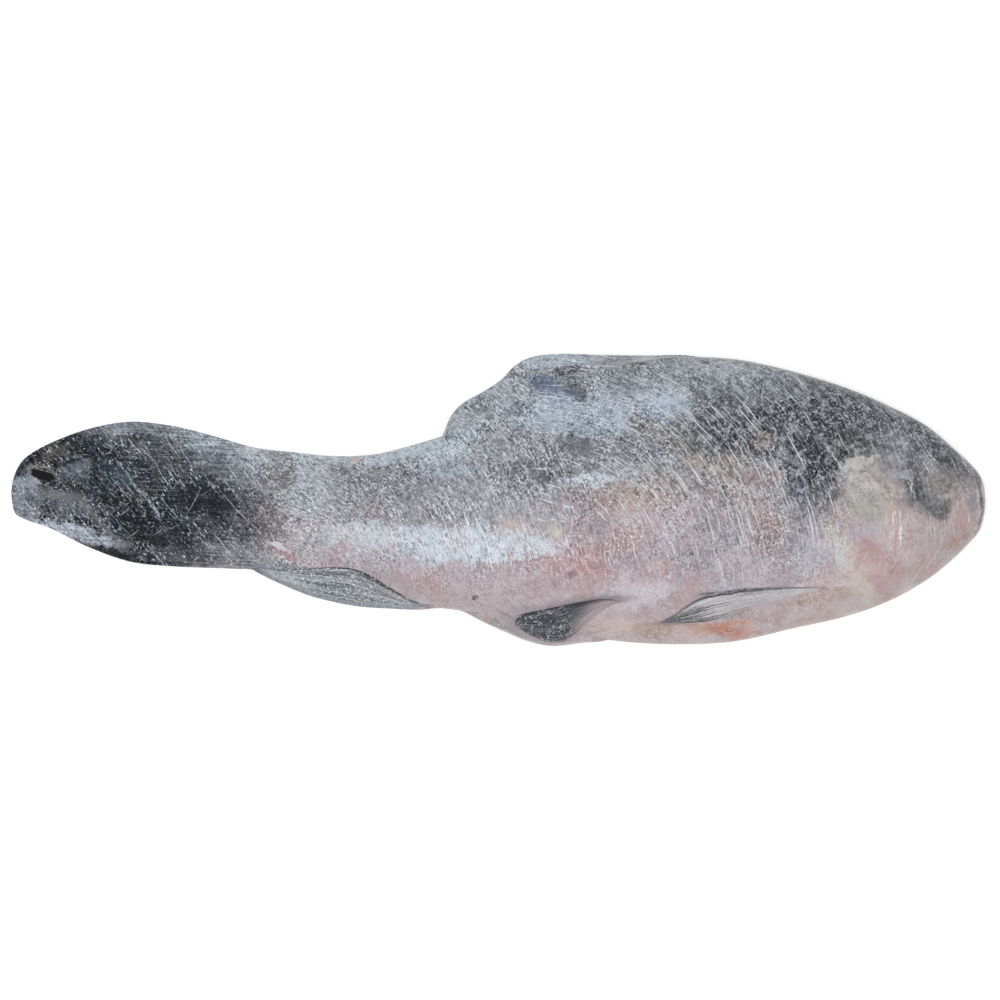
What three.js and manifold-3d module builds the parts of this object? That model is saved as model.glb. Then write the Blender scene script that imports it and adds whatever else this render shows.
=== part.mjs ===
// A whole raw fish, frozen under an ice glaze and lying on its flank.
// Millimetres. +X runs to the snout, +Y to the back and +Z up, out of the upper flank.
import * as THREE from "three";
import { mergeVertices } from "three/addons/utils/BufferGeometryUtils.js";
import Module from "manifold-3d";

const wasm = await Module();
wasm.setup();

// Trunk and tail as ribs, from the tail's tip to the snout. back and belly are the edges of the trunk,
// half is half its thickness, and middle is the height of the plane between the two flanks.
const trunkRibs = [
  { x: -227.5, back: 3.5, belly: 3.5, half: 0, middle: 6.5 },
  { x: -226, back: 11.5, belly: -5.5, half: 1.6, middle: 6.5 },
  { x: -221, back: 19.5, belly: -9, half: 2.4, middle: 6.5 },
  { x: -209, back: 26.6, belly: -13.3, half: 2.9, middle: 6.6 },
  { x: -191, back: 33.2, belly: -22.1, half: 3.3, middle: 6.9 },
  { x: -172, back: 36.4, belly: -28.7, half: 3.8, middle: 7.4 },
  { x: -152, back: 34.4, belly: -30.9, half: 4.6, middle: 8.4 },
  { x: -133, back: 29.7, belly: -31.6, half: 6, middle: 10 },
  { x: -114, back: 24.4, belly: -32.1, half: 8.8, middle: 12.4 },
  { x: -96, back: 22.3, belly: -30.1, half: 12, middle: 15 },
  { x: -77, back: 20.4, belly: -31.7, half: 14.6, middle: 17.6 },
  { x: -58, back: 21.3, belly: -37.5, half: 16.8, middle: 20 },
  { x: -39, back: 26, belly: -48, half: 19, middle: 22.2 },
  { x: -20, back: 31.8, belly: -51.1, half: 21.4, middle: 24.2 },
  { x: 3, back: 40, belly: -54.9, half: 24.6, middle: 26.2 },
  { x: 28, back: 51, belly: -60.5, half: 27.8, middle: 27.8 },
  { x: 53, back: 61, belly: -65.2, half: 30, middle: 28.8 },
  { x: 81, back: 66, belly: -66.9, half: 31.4, middle: 29.2 },
  { x: 109, back: 65.3, belly: -65.5, half: 31.6, middle: 29.2 },
  { x: 136, back: 59.6, belly: -59.5, half: 30.6, middle: 29 },
  { x: 160, back: 52.3, belly: -54.1, half: 28.6, middle: 28.6 },
  { x: 180, back: 43.9, belly: -47, half: 25.6, middle: 28 },
  { x: 197, back: 35, belly: -37.7, half: 21.8, middle: 27.4 },
  { x: 210, back: 24.4, belly: -27.5, half: 17.2, middle: 27 },
  { x: 218.2, back: 16.8, belly: -19.4, half: 12.8, middle: 26.8 },
  { x: 222.6, back: 11.4, belly: -13.8, half: 9.2, middle: 26.7 },
  { x: 224.6, back: 6, belly: -7, half: 5.2, middle: 26.7 },
  { x: 225.3, back: -0.5, belly: -0.5, half: 0, middle: 26.7 },
];
const ridgeTaper = 0.13; // how much narrower the trunk is towards the back, and fuller towards the belly
const tailFolds = { count: 5, depth: 0.7, start: -222, end: -112 };

// Fins as ribs from root to tip: upper and lower are the points of the fin's two edges.
const dorsalFin = {
  ribs: [
    { upper: [102, 59], lower: [102, 59] },
    { upper: [90, 66.6], lower: [88, 52] },
    { upper: [66, 67], lower: [67, 44] },
    { upper: [46, 67.3], lower: [50, 38] },
    { upper: [28, 67.8], lower: [33, 32] },
    { upper: [15, 66.4], lower: [20, 28] },
    { upper: [7, 62.4], lower: [11, 24] },
    { upper: [0.5, 55.8], lower: [2, 20] },
    { upper: [-8, 50.2], lower: [-8, 18] },
    { upper: [-17, 45.2], lower: [-16, 18] },
    { upper: [-22.6, 39.4], lower: [-22, 20] },
    { upper: [-25.5, 33], lower: [-25, 24] },
    { upper: [-27, 28], lower: [-27, 28] },
  ],
  edgeHalf: 1.8,
  rootHalf: 13,
};
const analFin = {
  ribs: [
    { upper: [-24, -49], lower: [-24, -49] },
    { upper: [-35, -38], lower: [-36, -50.9] },
    { upper: [-50, -28], lower: [-52, -50.4] },
    { upper: [-62, -23], lower: [-66, -49.4] },
    { upper: [-74, -20], lower: [-78, -47.2] },
    { upper: [-86, -20], lower: [-89, -44.3] },
    { upper: [-98, -21], lower: [-100, -39.9] },
    { upper: [-109, -24], lower: [-110, -35.2] },
    { upper: [-119, -30], lower: [-119, -30] },
  ],
  edgeHalf: 1.7,
  rootHalf: 8,
};
const pelvicFin = {
  ribs: [
    { upper: [59, -47.4], lower: [59, -47.4] },
    { upper: [51, -46.8], lower: [52, -50.6] },
    { upper: [42, -47.6], lower: [45.5, -55] },
    { upper: [32, -49.4], lower: [38, -60.4] },
    { upper: [22, -51.6], lower: [29, -65.2] },
    { upper: [13, -53.6], lower: [18, -65.4] },
    { upper: [6.5, -55.4], lower: [9, -61.4] },
    { upper: [2.5, -58], lower: [2.5, -58] },
  ],
  half: 1.5,
  lift: 0.5,
};
const farPelvicFin = {
  ribs: [
    { upper: [59, -56], lower: [59, -56] },
    { upper: [50, -50], lower: [50, -64.6] },
    { upper: [37, -50], lower: [38, -66.2] },
    { upper: [24, -51], lower: [24, -67.7] },
    { upper: [11, -51], lower: [12, -65.2] },
    { upper: [0, -50], lower: [1, -60.6] },
    { upper: [-10, -49], lower: [-9, -56] },
    { upper: [-19, -50.4], lower: [-19, -50.4] },
  ],
  half: 1.5,
  lift: 0.3,
};
const pectoralFin = {
  ribs: [
    { upper: [152, -41], lower: [152, -41] },
    { upper: [140, -40.2], lower: [139, -44.8] },
    { upper: [126, -40.8], lower: [126, -47] },
    { upper: [112, -41.8], lower: [114, -50.4] },
    { upper: [100, -43.4], lower: [102, -54.2] },
    { upper: [90, -46.6], lower: [91, -55.8] },
    { upper: [80, -51.6], lower: [80, -56.8] },
    { upper: [71.4, -57.2], lower: [71.4, -57.2] },
  ],
  half: 1.6,
  lift: 0.7,
};

// The gill cover is a plate over the cheek: it is sunk in front and its rear edge stands proud.
const gillCover = {
  ribs: [
    { upper: [203, -1], lower: [203, -1] },
    { upper: [196, 18], lower: [196, -20] },
    { upper: [184, 28], lower: [184, -33] },
    { upper: [170, 31], lower: [171, -41] },
    { upper: [157, 27], lower: [160, -42] },
    { upper: [148, 17], lower: [152, -34] },
    { upper: [144, 6], lower: [146, -18] },
    { upper: [143, -4.5], lower: [143, -4.5] },
  ],
  half: 1.5,
  frontLift: -1.9,
  rearLift: 0.1,
};
const finRays = { count: 4, height: 0.35 };
const finSunk = 3; // how far a fin laid on the flank is frozen into it
const eye = { x: 205.5, y: 7.4, radius: 6, bulge: 2.6 };
const mouth = { corner: [207, -20], opening: [228, -9.6], gap: 2.6 };

const trunkMesh = { around: 50, along: 72 };
const finMesh = { around: 30, along: 12 };
const longFinMesh = { around: 12, along: 20 };
const gillMesh = { around: 22, along: 10 };
const eyeMesh = { around: 16, along: 8 };
const floorDepth = 50; // how far below the resting plane the trimming block reaches

// A smooth value between the numbers of a list, for a place from 0 to 1 along it.
function smooth(numbers) {
  const line = new THREE.SplineCurve(numbers.map((number, i) => new THREE.Vector2(i, number)));
  return (place) => line.getPoint(THREE.MathUtils.clamp(place, 0, 1)).y;
}

const trunkLines = Object.fromEntries(
  ["x", "back", "belly", "half", "middle"].map((key) => [key, smooth(trunkRibs.map((rib) => rib[key]))]),
);

// The rib section of the trunk at a place along it.
function trunkSection(place) {
  const back = trunkLines.back(place);
  const belly = trunkLines.belly(place);
  return {
    x: trunkLines.x(place),
    centre: (back + belly) / 2,
    reach: Math.max((back - belly) / 2, 0),
    half: Math.max(trunkLines.half(place), 0),
    middle: trunkLines.middle(place),
  };
}

// The section at a given x, found by halving, as x grows all the way along the ribs.
function sectionAt(x) {
  let low = 0;
  let high = 1;
  for (let step = 0; step < 24; step++) {
    const place = (low + high) / 2;
    if (trunkLines.x(place) < x) low = place;
    else high = place;
  }
  return trunkSection((low + high) / 2);
}

// Height of the upper flank above a point. From the share straightFrom of the way to the trunk's edge it
// goes straight on, as a stiff fin does where it leaves the flank.
function flankHeight(x, y, straightFrom = 1) {
  const section = sectionAt(x);
  const across = (y - section.centre) / section.reach;
  const bend = Math.min(Math.abs(across), straightFrom);
  const rise = Math.sqrt(1 - bend * bend);
  const fall = rise > 0 ? ((Math.abs(across) - bend) * bend) / rise : 0;
  return section.middle + section.half * Math.max(rise - fall, 0) * (1 - ridgeTaper * across);
}

// A closed skin: a sphere whose points are placed by how far they are from its poles and round its axis.
function skin({ around, along }, placePoint) {
  const sphere = new THREE.SphereGeometry(1, around, along);
  const { position, uv } = sphere.attributes;
  for (let i = 0; i < position.count; i++) {
    position.setXYZ(i, ...placePoint(1 - uv.getY(i), 2 * Math.PI * uv.getX(i)));
  }
  return solid(sphere);
}

function solid(geometry) {
  geometry.deleteAttribute("normal");
  geometry.deleteAttribute("uv");
  const merged = mergeVertices(geometry, 1e-4);
  return new wasm.Manifold(
    new wasm.Mesh({
      numProp: 3,
      vertProperties: merged.attributes.position.array,
      triVerts: new Uint32Array(merged.index.array),
    }),
  );
}

// The tail's rays lie bunched in long folds, which die away at its tip and its root.
function foldDepth(x, across) {
  const { count, depth, start, end } = tailFolds;
  const along = THREE.MathUtils.clamp((x - start) / (end - start), 0, 1);
  return depth * Math.sin(Math.PI * along) * Math.cos(Math.PI * count * across);
}

function trunk() {
  return skin(trunkMesh, (place, angle) => {
    const section = trunkSection(place);
    const across = Math.cos(angle);
    const half = section.half + foldDepth(section.x, across);
    const rise = Math.sin(angle) * (1 - ridgeTaper * across);
    return [section.x, section.centre + section.reach * across, section.middle - half * rise];
  });
}

// A thin leaf between its two edges. heightOf gives the height of its middle, and halfOf its thickness from
// there to one side, by how far it is from the upper edge to the lower and by the side's sign.
function leaf(ribs, mesh, heightOf, halfOf) {
  const [upperX, upperY, lowerX, lowerY] = [
    smooth(ribs.map((rib) => rib.upper[0])),
    smooth(ribs.map((rib) => rib.upper[1])),
    smooth(ribs.map((rib) => rib.lower[0])),
    smooth(ribs.map((rib) => rib.lower[1])),
  ];
  return skin(mesh, (fromTip, angle) => {
    const place = 1 - fromTip;
    const across = (1 - Math.cos(angle)) / 2;
    const x = THREE.MathUtils.lerp(upperX(place), lowerX(place), across);
    const y = THREE.MathUtils.lerp(upperY(place), lowerY(place), across);
    const side = Math.sin(angle);
    const swell = Math.sqrt(Math.max(Math.sin(Math.PI * place), 0));
    const thick = halfOf(across, Math.sign(side)) * swell * Math.sign(side) * Math.abs(side) ** 0.7;
    return [x, y, heightOf(x, y, place) - thick];
  });
}

// A fin in the plane between the flanks, thick at its root inside the trunk and thin at its free edge.
function middleFin({ ribs, edgeHalf, rootHalf }, rootIsUpper) {
  const half = (across) => {
    const fromRoot = rootIsUpper ? 1 - across : across;
    return THREE.MathUtils.lerp(edgeHalf, rootHalf, fromRoot ** 1.6);
  };
  return leaf(ribs, longFinMesh, (x) => sectionAt(x).middle, half);
}

// A fin laid back along a flank. It leans off the trunk's edge, as the flank falls away faster than it does.
function flankFin({ ribs, half, lift }, isUpper) {
  const straightFrom = 0.86;
  const inward = isUpper ? 1 : -1;
  const height = (x, y) => {
    const above = flankHeight(x, y, straightFrom) + lift;
    return isUpper ? above : 2 * sectionAt(x).middle - above;
  };
  const thickness = (across, side) => {
    if (side === inward) return finSunk;
    return half + finRays.height * Math.cos(2 * Math.PI * finRays.count * across);
  };
  return leaf(ribs, finMesh, height, thickness);
}

function gillPlate(isUpper) {
  const { ribs, half, frontLift, rearLift } = gillCover;
  const height = (x, y, place) => {
    const above = flankHeight(x, y) + THREE.MathUtils.lerp(frontLift, rearLift, place);
    return isUpper ? above : 2 * sectionAt(x).middle - above;
  };
  return leaf(ribs, gillMesh, height, () => half);
}

// A flattened ball, tilted to lie in the flank.
function eyeBall(isUpper) {
  const step = 1;
  const height = flankHeight(eye.x, eye.y);
  const slopeX = (flankHeight(eye.x + step, eye.y) - height) / step;
  const slopeY = (flankHeight(eye.x, eye.y + step) - height) / step;
  const turn = isUpper ? 1 : -1;
  const ball = new THREE.SphereGeometry(1, eyeMesh.around, eyeMesh.along);
  ball.rotateX(Math.PI / 2);
  ball.scale(eye.radius, eye.radius, eye.bulge);
  const facing = new THREE.Vector3(-slopeX, -slopeY, 1).normalize();
  facing.z *= turn;
  ball.applyQuaternion(new THREE.Quaternion().setFromUnitVectors(new THREE.Vector3(0, 0, 1), facing));
  const middle = sectionAt(eye.x).middle;
  ball.translate(eye.x, eye.y, middle + turn * (height - middle));
  return solid(ball);
}

// The mouth is a thin wedge across the whole snout, widest where it opens.
function mouthSlit() {
  const [cornerX, cornerY] = mouth.corner;
  const [openX, openY] = mouth.opening;
  const outline = new THREE.Shape([
    new THREE.Vector2(cornerX, cornerY),
    new THREE.Vector2(openX, openY - mouth.gap / 2),
    new THREE.Vector2(openX, openY + mouth.gap / 2),
  ]);
  const widest = 2 * sectionAt(cornerX).middle;
  return solid(new THREE.ExtrudeGeometry(outline, { depth: widest, bevelEnabled: false }));
}

// The block under the plane that the fish rests on, which leaves a flat where the lower flank was frozen flat.
function floorBlock() {
  const { width, depth } = { width: 600, depth: 300 };
  const block = new THREE.BoxGeometry(width, depth, floorDepth);
  block.translate(0, 0, -floorDepth / 2);
  return solid(block);
}

function wholeFish() {
  const pieces = [
    middleFin(dorsalFin, false),
    middleFin(analFin, true),
    flankFin(pelvicFin, true),
    flankFin(farPelvicFin, false),
    flankFin(pectoralFin, true),
    flankFin(pectoralFin, false),
    gillPlate(true),
    gillPlate(false),
    eyeBall(true),
    eyeBall(false),
  ];
  const joined = pieces.reduce((fish, piece) => fish.add(piece), trunk());
  return joined.subtract(mouthSlit()).subtract(floorBlock());
}

// The mesh of a finished solid, moved so that the origin is under the middle of its box.
function meshOf(shape) {
  const { numProp, vertProperties, triVerts } = shape.getMesh();
  const geometry = new THREE.BufferGeometry();
  const points = new THREE.InterleavedBuffer(vertProperties, numProp);
  geometry.setAttribute("position", new THREE.InterleavedBufferAttribute(points, 3, 0));
  geometry.setIndex(new THREE.BufferAttribute(triVerts, 1));
  geometry.computeBoundingBox();
  const { min, max } = geometry.boundingBox;
  geometry.translate(-(min.x + max.x) / 2, -(min.y + max.y) / 2, -min.z);
  geometry.computeVertexNormals();
  return geometry;
}

const frozenSkin = new THREE.MeshStandardMaterial({ color: 0x9a9699, roughness: 0.45, metalness: 0 });
const fish = new THREE.Mesh(meshOf(wholeFish()), frozenSkin);
fish.name = "fish";

const part = new THREE.Group();
part.add(fish);

export default part;
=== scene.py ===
import math

import bmesh
import bpy
import numpy as np
from mathutils import Matrix, Vector, noise
from mathutils.bvhtree import BVHTree


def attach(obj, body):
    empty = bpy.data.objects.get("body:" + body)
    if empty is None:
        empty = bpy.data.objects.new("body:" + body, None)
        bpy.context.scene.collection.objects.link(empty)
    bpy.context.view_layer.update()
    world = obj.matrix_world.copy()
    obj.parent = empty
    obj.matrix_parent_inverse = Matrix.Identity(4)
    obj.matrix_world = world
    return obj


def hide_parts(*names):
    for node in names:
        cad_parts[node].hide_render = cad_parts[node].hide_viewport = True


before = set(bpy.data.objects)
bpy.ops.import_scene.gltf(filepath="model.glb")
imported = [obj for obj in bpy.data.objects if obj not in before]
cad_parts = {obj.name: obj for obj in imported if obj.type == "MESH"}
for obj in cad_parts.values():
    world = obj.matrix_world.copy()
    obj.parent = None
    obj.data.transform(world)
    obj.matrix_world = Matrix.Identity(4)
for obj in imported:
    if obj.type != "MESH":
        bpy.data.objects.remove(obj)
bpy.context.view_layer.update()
print("frame loaded")

# Everything is drawn in millimetres, with the fish's middle near zero, and moved to the frame at the end.
frameShift = (1.1, 0.0, 0.0)
perMetre = 1000.0
tiny = 1e-6  # keeps a division off zero


def smoothRows(rows):  # a smooth line through rows of numbers, read by a place from 0 to 1
    rows = [np.array(row, float) for row in rows]
    last = len(rows) - 1

    def at(place):
        spot = min(max(place, 0.0), 1.0) * last
        i = min(int(spot), last - 1)
        f = spot - i
        a, b, c, d = (rows[min(max(j, 0), last)] for j in (i - 1, i, i + 1, i + 2))
        into, out = (c - a) / 2, (d - b) / 2
        return (2 * b - 2 * c + into + out) * f**3 + (3 * c - 3 * b - 2 * into - out) * f**2 + into * f + b

    return at


def readByX(rows, samples=1500):  # the same line, read by its x, with the other columns as the answer
    line = smoothRows(rows)
    run = np.array([line(i / samples) for i in range(samples + 1)])
    run = run[np.argsort(run[:, 0])]

    def at(x, outside=None):
        answer = [
            np.interp(x, run[:, 0], run[:, column], left=outside, right=outside)
            for column in range(1, run.shape[1])
        ]
        return answer if len(answer) > 1 else answer[0]

    return at


def gridPiece(cols, rows):  # a flat grid, with its vertices in a table by column and row
    bm = bmesh.new()
    bmesh.ops.create_grid(bm, x_segments=cols, y_segments=rows, size=0.5)
    table = np.empty((cols + 1, rows + 1), object)
    for vert in bm.verts:
        table[round((vert.co.x + 0.5) * cols), round((vert.co.y + 0.5) * rows)] = vert
    return bm, table


def wrapGrid(bm, table, spots, mapSpots):  # rolls the grid up into a closed skin, and lays out its map
    mapOf = {}
    for vert, spot, mapSpot in zip(table.flat, spots.reshape(-1, 3), mapSpots.reshape(-1, 2)):
        vert.co = spot
        mapOf[vert] = mapSpot
    layer = bm.loops.layers.uv.new("skinMap")
    for face in bm.faces:
        for loop in face.loops:
            loop[layer].uv = mapOf[loop.vert]
    bmesh.ops.remove_doubles(bm, verts=bm.verts, dist=1e-4)
    bmesh.ops.recalc_face_normals(bm, faces=bm.faces)


def finishPiece(name, bm, materials):
    toFrame = Matrix.Scale(1 / perMetre, 4) @ Matrix.Translation(frameShift)
    bmesh.ops.transform(bm, matrix=toFrame, verts=bm.verts)
    mesh = bpy.data.meshes.new(name)
    bm.to_mesh(mesh)
    bm.free()
    for material in materials:
        mesh.materials.append(material)
    mesh.shade_smooth()
    piece = bpy.data.objects.new(name, mesh)
    bpy.context.scene.collection.objects.link(piece)
    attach(piece, "root")
    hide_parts("fish")
    return piece


# The shaders: a socket that can be reckoned with, and a painter that adds the nodes.
studioGain = 1.35  # how much brighter than its own colour a surface facing up comes out
drifts = {  # scale, size in millimetres, detail and roughness of the noise that moves patches about
    "fine": (0.2, 15.0, 4.0, 0.66),
    "broad": (0.045, 40.0, 3.0, 0.6),
    "head": (0.14, 12.0, 4.0, 0.6),
    "details": (0.3, 4.0, 2.0, 0.6),
    "lines": (0.12, 2.4, 1.0, 0.5),
}
elsewhere = (57.3, 31.9, 12.7)  # far enough off for another noise
aslant = (0.6, 0.45, 0.9)  # turns a noise away from the axes
frost = {
    "shadow": (0.42, 0.42, 0.45, 1),  # what lies between the grains is this much darker
    "grain": (232, 238, 244), "streak": (232, 237, 243), "glint": (242, 245, 248),
}
glaze = {"Coat Weight": 0.15, "Coat Roughness": 0.25, "Specular IOR Level": 0.1}


def tint(red, green, blue):  # a colour as seen on a screen, for the shader
    def linear(byte):
        share = byte / 255
        return (share / 12.92 if share <= 0.04045 else ((share + 0.055) / 1.055) ** 2.4) / studioGain

    return (linear(red), linear(green), linear(blue), 1.0)


class Wire:  # one output socket, which can be reckoned with
    def __init__(self, paint, socket):
        self.paint, self.socket = paint, socket

    def reckon(self, operation, first, second):
        return self.paint.node("ShaderNodeMath", {"operation": operation}, {0: first, 1: second})

    def __add__(self, other):
        return self.reckon("ADD", self, other)

    def __radd__(self, other):
        return self.reckon("ADD", other, self)

    def __sub__(self, other):
        return self.reckon("SUBTRACT", self, other)

    def __rsub__(self, other):
        return self.reckon("SUBTRACT", other, self)

    def __mul__(self, other):
        return self.reckon("MULTIPLY", self, other)

    def __rmul__(self, other):
        return self.reckon("MULTIPLY", other, self)

    def __truediv__(self, other):
        return self.reckon("DIVIDE", self, other)

    def __rtruediv__(self, other):
        return self.reckon("DIVIDE", other, self)

    def __abs__(self):
        return self.paint.node("ShaderNodeMath", {"operation": "ABSOLUTE"}, {0: self})


class Paint:  # one material and its nodes
    def __init__(self, name):
        self.material = bpy.data.materials.new(name)
        self.material.use_nodes = True
        self.tree = self.material.node_tree
        self.tree.nodes.clear()

    def node(self, kind, settings=None, sockets=None, out=0):
        made = self.tree.nodes.new(kind)
        for key, value in (settings or {}).items():
            setattr(made, key, value)
        for key, value in (sockets or {}).items():
            if isinstance(value, Wire):
                self.tree.links.new(value.socket, made.inputs[key])
            else:
                made.inputs[key].default_value = value
        return Wire(self, made.outputs[out]) if made.outputs else None

    def coordinates(self, kind):
        return self.node("ShaderNodeTexCoord", out=kind)

    def fishPlace(self):  # in millimetres
        return self.vector("SUBTRACT", self.scaled(self.coordinates("Object"), perMetre), frameShift)

    def facing(self):  # 1 where the surface faces up or down, 0 where it stands upright
        return abs(self.split(self.coordinates("Normal"))[2])

    def bumped(self, height, strength, distance=0.0005):
        sockets = {"Strength": strength, "Distance": distance, "Height": height}
        return self.node("ShaderNodeBump", sockets=sockets)

    def vector(self, operation, first, second=None, out=0):
        sockets = {0: first} if second is None else {0: first, 1: second}
        return self.node("ShaderNodeVectorMath", {"operation": operation}, sockets, out)

    def scaled(self, vector, size):
        return self.node("ShaderNodeVectorMath", {"operation": "SCALE"}, {0: vector, "Scale": size})

    def split(self, vector):
        apart = self.node("ShaderNodeSeparateXYZ", sockets={0: vector}).socket.node
        return [Wire(self, output) for output in apart.outputs]

    def joined(self, x, y, z=0.0):
        return self.node("ShaderNodeCombineXYZ", sockets={0: x, 1: y, 2: z})

    def ease(self, value, low, high, most=1.0):  # rises smoothly from 0 at low to most at high
        sockets = {"Value": value, "From Min": low, "From Max": high, "To Min": 0.0, "To Max": most}
        return self.node("ShaderNodeMapRange", {"interpolation_type": "SMOOTHSTEP", "clamp": False}, sockets)

    def over(self, mask, under, top):
        return self.node("ShaderNodeMix", {"data_type": "RGBA"}, {0: mask, 6: under, 7: top}, 2)

    def times(self, mask, under, top):
        settings = {"data_type": "RGBA", "blend_type": "MULTIPLY"}
        return self.node("ShaderNodeMix", settings, {0: mask, 6: under, 7: top}, 2)

    def noise(self, vector, scale, detail=2.0, roughness=0.5):
        sockets = {"Vector": vector, "Scale": scale, "Detail": detail, "Roughness": roughness}
        return self.node("ShaderNodeTexNoise", {"noise_dimensions": "3D"}, sockets)

    def moved(self, vector, drift, start=None):  # start, or the place itself, up to half of size each way
        scale, size, detail, roughness = drifts[drift]
        aside = self.noise(vector, scale, detail, roughness) - 0.5
        along = self.noise(self.vector("ADD", vector, elsewhere), scale, detail, roughness) - 0.5
        return self.vector("ADD", start or vector, self.scaled(self.joined(aside, along), size))

    def spot(self, place, x, y, long, wide, turn=0.0, strength=1.0, soft=0.4):
        sockets = {
            "Vector": place,
            "Location": (x, y, 0.0),
            "Rotation": (0.0, 0.0, math.radians(turn)),
            "Scale": (long * (1 + soft), wide * (1 + soft), 1 / tiny),
        }
        local = self.node("ShaderNodeMapping", {"vector_type": "TEXTURE"}, sockets)
        within = self.node("ShaderNodeTexGradient", {"gradient_type": "SPHERICAL"}, {"Vector": local}, 1)
        return self.ease(within, 0.0, 2 * soft / (1 + soft), strength)

    def strokes(self, along, across, length, width, thick):  # thin marks, one to a cell
        sockets = {"Vector": self.joined(along / length, across / width), "Scale": 1.0, "Randomness": 1.0}
        distance = self.node("ShaderNodeTexVoronoi", {"voronoi_dimensions": "2D", "feature": "F1"}, sockets)
        return self.ease(distance, thick, thick * 0.4)

    def wandering(self, place):  # places moved about, once finely and once broadly as well
        fine = self.moved(place, "fine")
        return fine, self.moved(place, "broad", fine)

    def laidOn(self, colour, patches, span, spread, where, crisp=1.0, worn=None):
        low, high = span
        for cx, cy, long, wide, turn, shade, strength, soft in patches:
            reach = max(long, wide) * (1 + soft) + spread
            if low - reach < cx < high + reach:
                mask = self.spot(where, cx, cy, long, wide, turn, strength, soft * crisp)
                colour = self.over(mask * worn if worn else mask, colour, tint(*shade))
        return colour

    def turnedNoise(self, vector, size, detail=2.0, roughness=0.6):
        sockets = {"Vector": vector, "Rotation": aslant, "Scale": (size, size, size)}
        aside = self.node("ShaderNodeMapping", {"vector_type": "POINT"}, sockets)
        return self.noise(aside, 1.0, detail, roughness)

    def frosted(self, colour, grain, hatch, pale, dark, hair=1.0):  # a grain of frost, and streaks of it
        colour = self.times(self.ease(grain, 0.48, 0.34, 0.9) * dark, colour, frost["shadow"])
        colour = self.times(self.ease(hatch, 0.49, 0.35, 0.9) * dark * hair, colour, frost["shadow"])
        colour = self.over(self.ease(grain, 0.55, 0.66, 0.62) * pale, colour, tint(*frost["grain"]))
        colour = self.over(self.ease(hatch, 0.54, 0.64, 0.5) * pale * hair, colour, tint(*frost["streak"]))
        return self.over(self.ease(hatch, 0.63, 0.67, 0.6) * pale * hair, colour, tint(*frost["glint"]))

    def surface(self, sockets):
        shader = self.node("ShaderNodeBsdfPrincipled", sockets=sockets)
        self.node("ShaderNodeOutputMaterial", sockets={"Surface": shader})
        return self.material


trunk = {
    "ribs": [  # x, back, belly, half the thickness, height of the middle
        (-227.5, 3.5, 3.5, 0, 6.5),
        (-226, 11.5, -5.5, 1.6, 6.5),
        (-221, 19.5, -9, 2.4, 6.5),
        (-209, 26.6, -13.3, 2.9, 6.6),
        (-191, 33.2, -22.1, 3.3, 6.9),
        (-172, 36.4, -28.7, 3.8, 7.4),
        (-152, 34.4, -30.9, 4.6, 8.4),
        (-133, 29.7, -31.6, 6, 10),
        (-114, 24.4, -32.1, 8.8, 12.4),
        (-96, 22.3, -30.1, 12, 15),
        (-77, 20.4, -31.7, 14.6, 17.6),
        (-58, 21.3, -37.5, 16.8, 20),
        (-39, 26, -48, 19, 22.2),
        (-20, 31.8, -51.1, 21.4, 24.2),
        (3, 40, -54.9, 24.6, 26.2),
        (28, 51, -60.5, 27.8, 27.8),
        (53, 61, -65.2, 30, 28.8),
        (81, 66, -66.9, 31.4, 29.2),
        (109, 65.3, -65.5, 31.6, 29.2),
        (136, 59.6, -59.5, 30.6, 29),
        (160, 52.3, -54.1, 28.6, 28.6),
        (180, 43.9, -47, 25.6, 28),
        (197, 35, -37.7, 21.8, 27.4),
        (210, 24.4, -27.5, 17.2, 27),
        (218.2, 16.8, -19.4, 12.8, 26.8),
        (222.6, 11.4, -13.8, 9.2, 26.7),
        (224.6, 6, -7, 5.2, 26.7),
        (225.3, -0.5, -0.5, 0, 26.7),
    ],
    "taper": 0.13,  # how much narrower it is towards the back
    "dorsalEdge": [
        (102, 59), (90, 66.6), (66, 67), (46, 67.3), (28, 67.8), (15, 66.4), (7, 62.4), (0.5, 55.8),
        (-8, 50.2), (-17, 45.2), (-22.6, 39.4), (-25.5, 33), (-27.2, 28),
    ],
    "analEdge": [
        (-24, -49), (-36, -50.9), (-52, -50.4), (-66, -49.4), (-78, -47.2), (-89, -44.3), (-100, -39.9),
        (-110, -35.2), (-119, -30),
    ],
    "pelvicEdge": [
        (59, -56), (50, -64.6), (38, -66.2), (24, -67.7), (12, -65.2), (1, -60.6), (-9, -56), (-19, -50.4),
    ],
    "finHalf": 1.8,  # half the thickness of a fin's free edge
    "finRoot": 13.0,  # half its thickness where it leaves the trunk
    "finFull": {"dorsal": 3, "belly": 7},  # how far a fin stands out where it has this thickness
    "rounding": 0.25,  # the share of a fin that rounds off to its edge
    "ventX": -22,
    "paunchTaper": 16,  # ahead of the vent the lower edge is fleshy: it would thin out over this length
    "stations": 420,
    "around": 224,
    "tail": (-100, -118),  # it begins and is in full between these
    "folds": {"count": 5, "depth": 0.7, "start": -222, "end": -112},
    "rays": {"count": 17, "depth": 0.16, "waver": 0.04},
    "window": {"x": -212.5, "share": 0.36, "long": 6.4, "wide": 0.2, "depth": 1.3},
    "lumps": [(26, 20, 0, 0.8), (7, 6, 4, 0.22)],  # long, wide, how far off in the noise, high
}
gill = {
    "edge": [
        (161.4, 26), (154, 18), (148.5, 8.4), (146.1, -1.4), (147.5, -11.6), (151.2, -22.3), (156.8, -32.5),
        (163.3, -41.8), (171.7, -47.3),
    ],
    "high": 1.5, "fade": 13, "rim": 0.5, "rimWide": 1.6,
}
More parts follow.
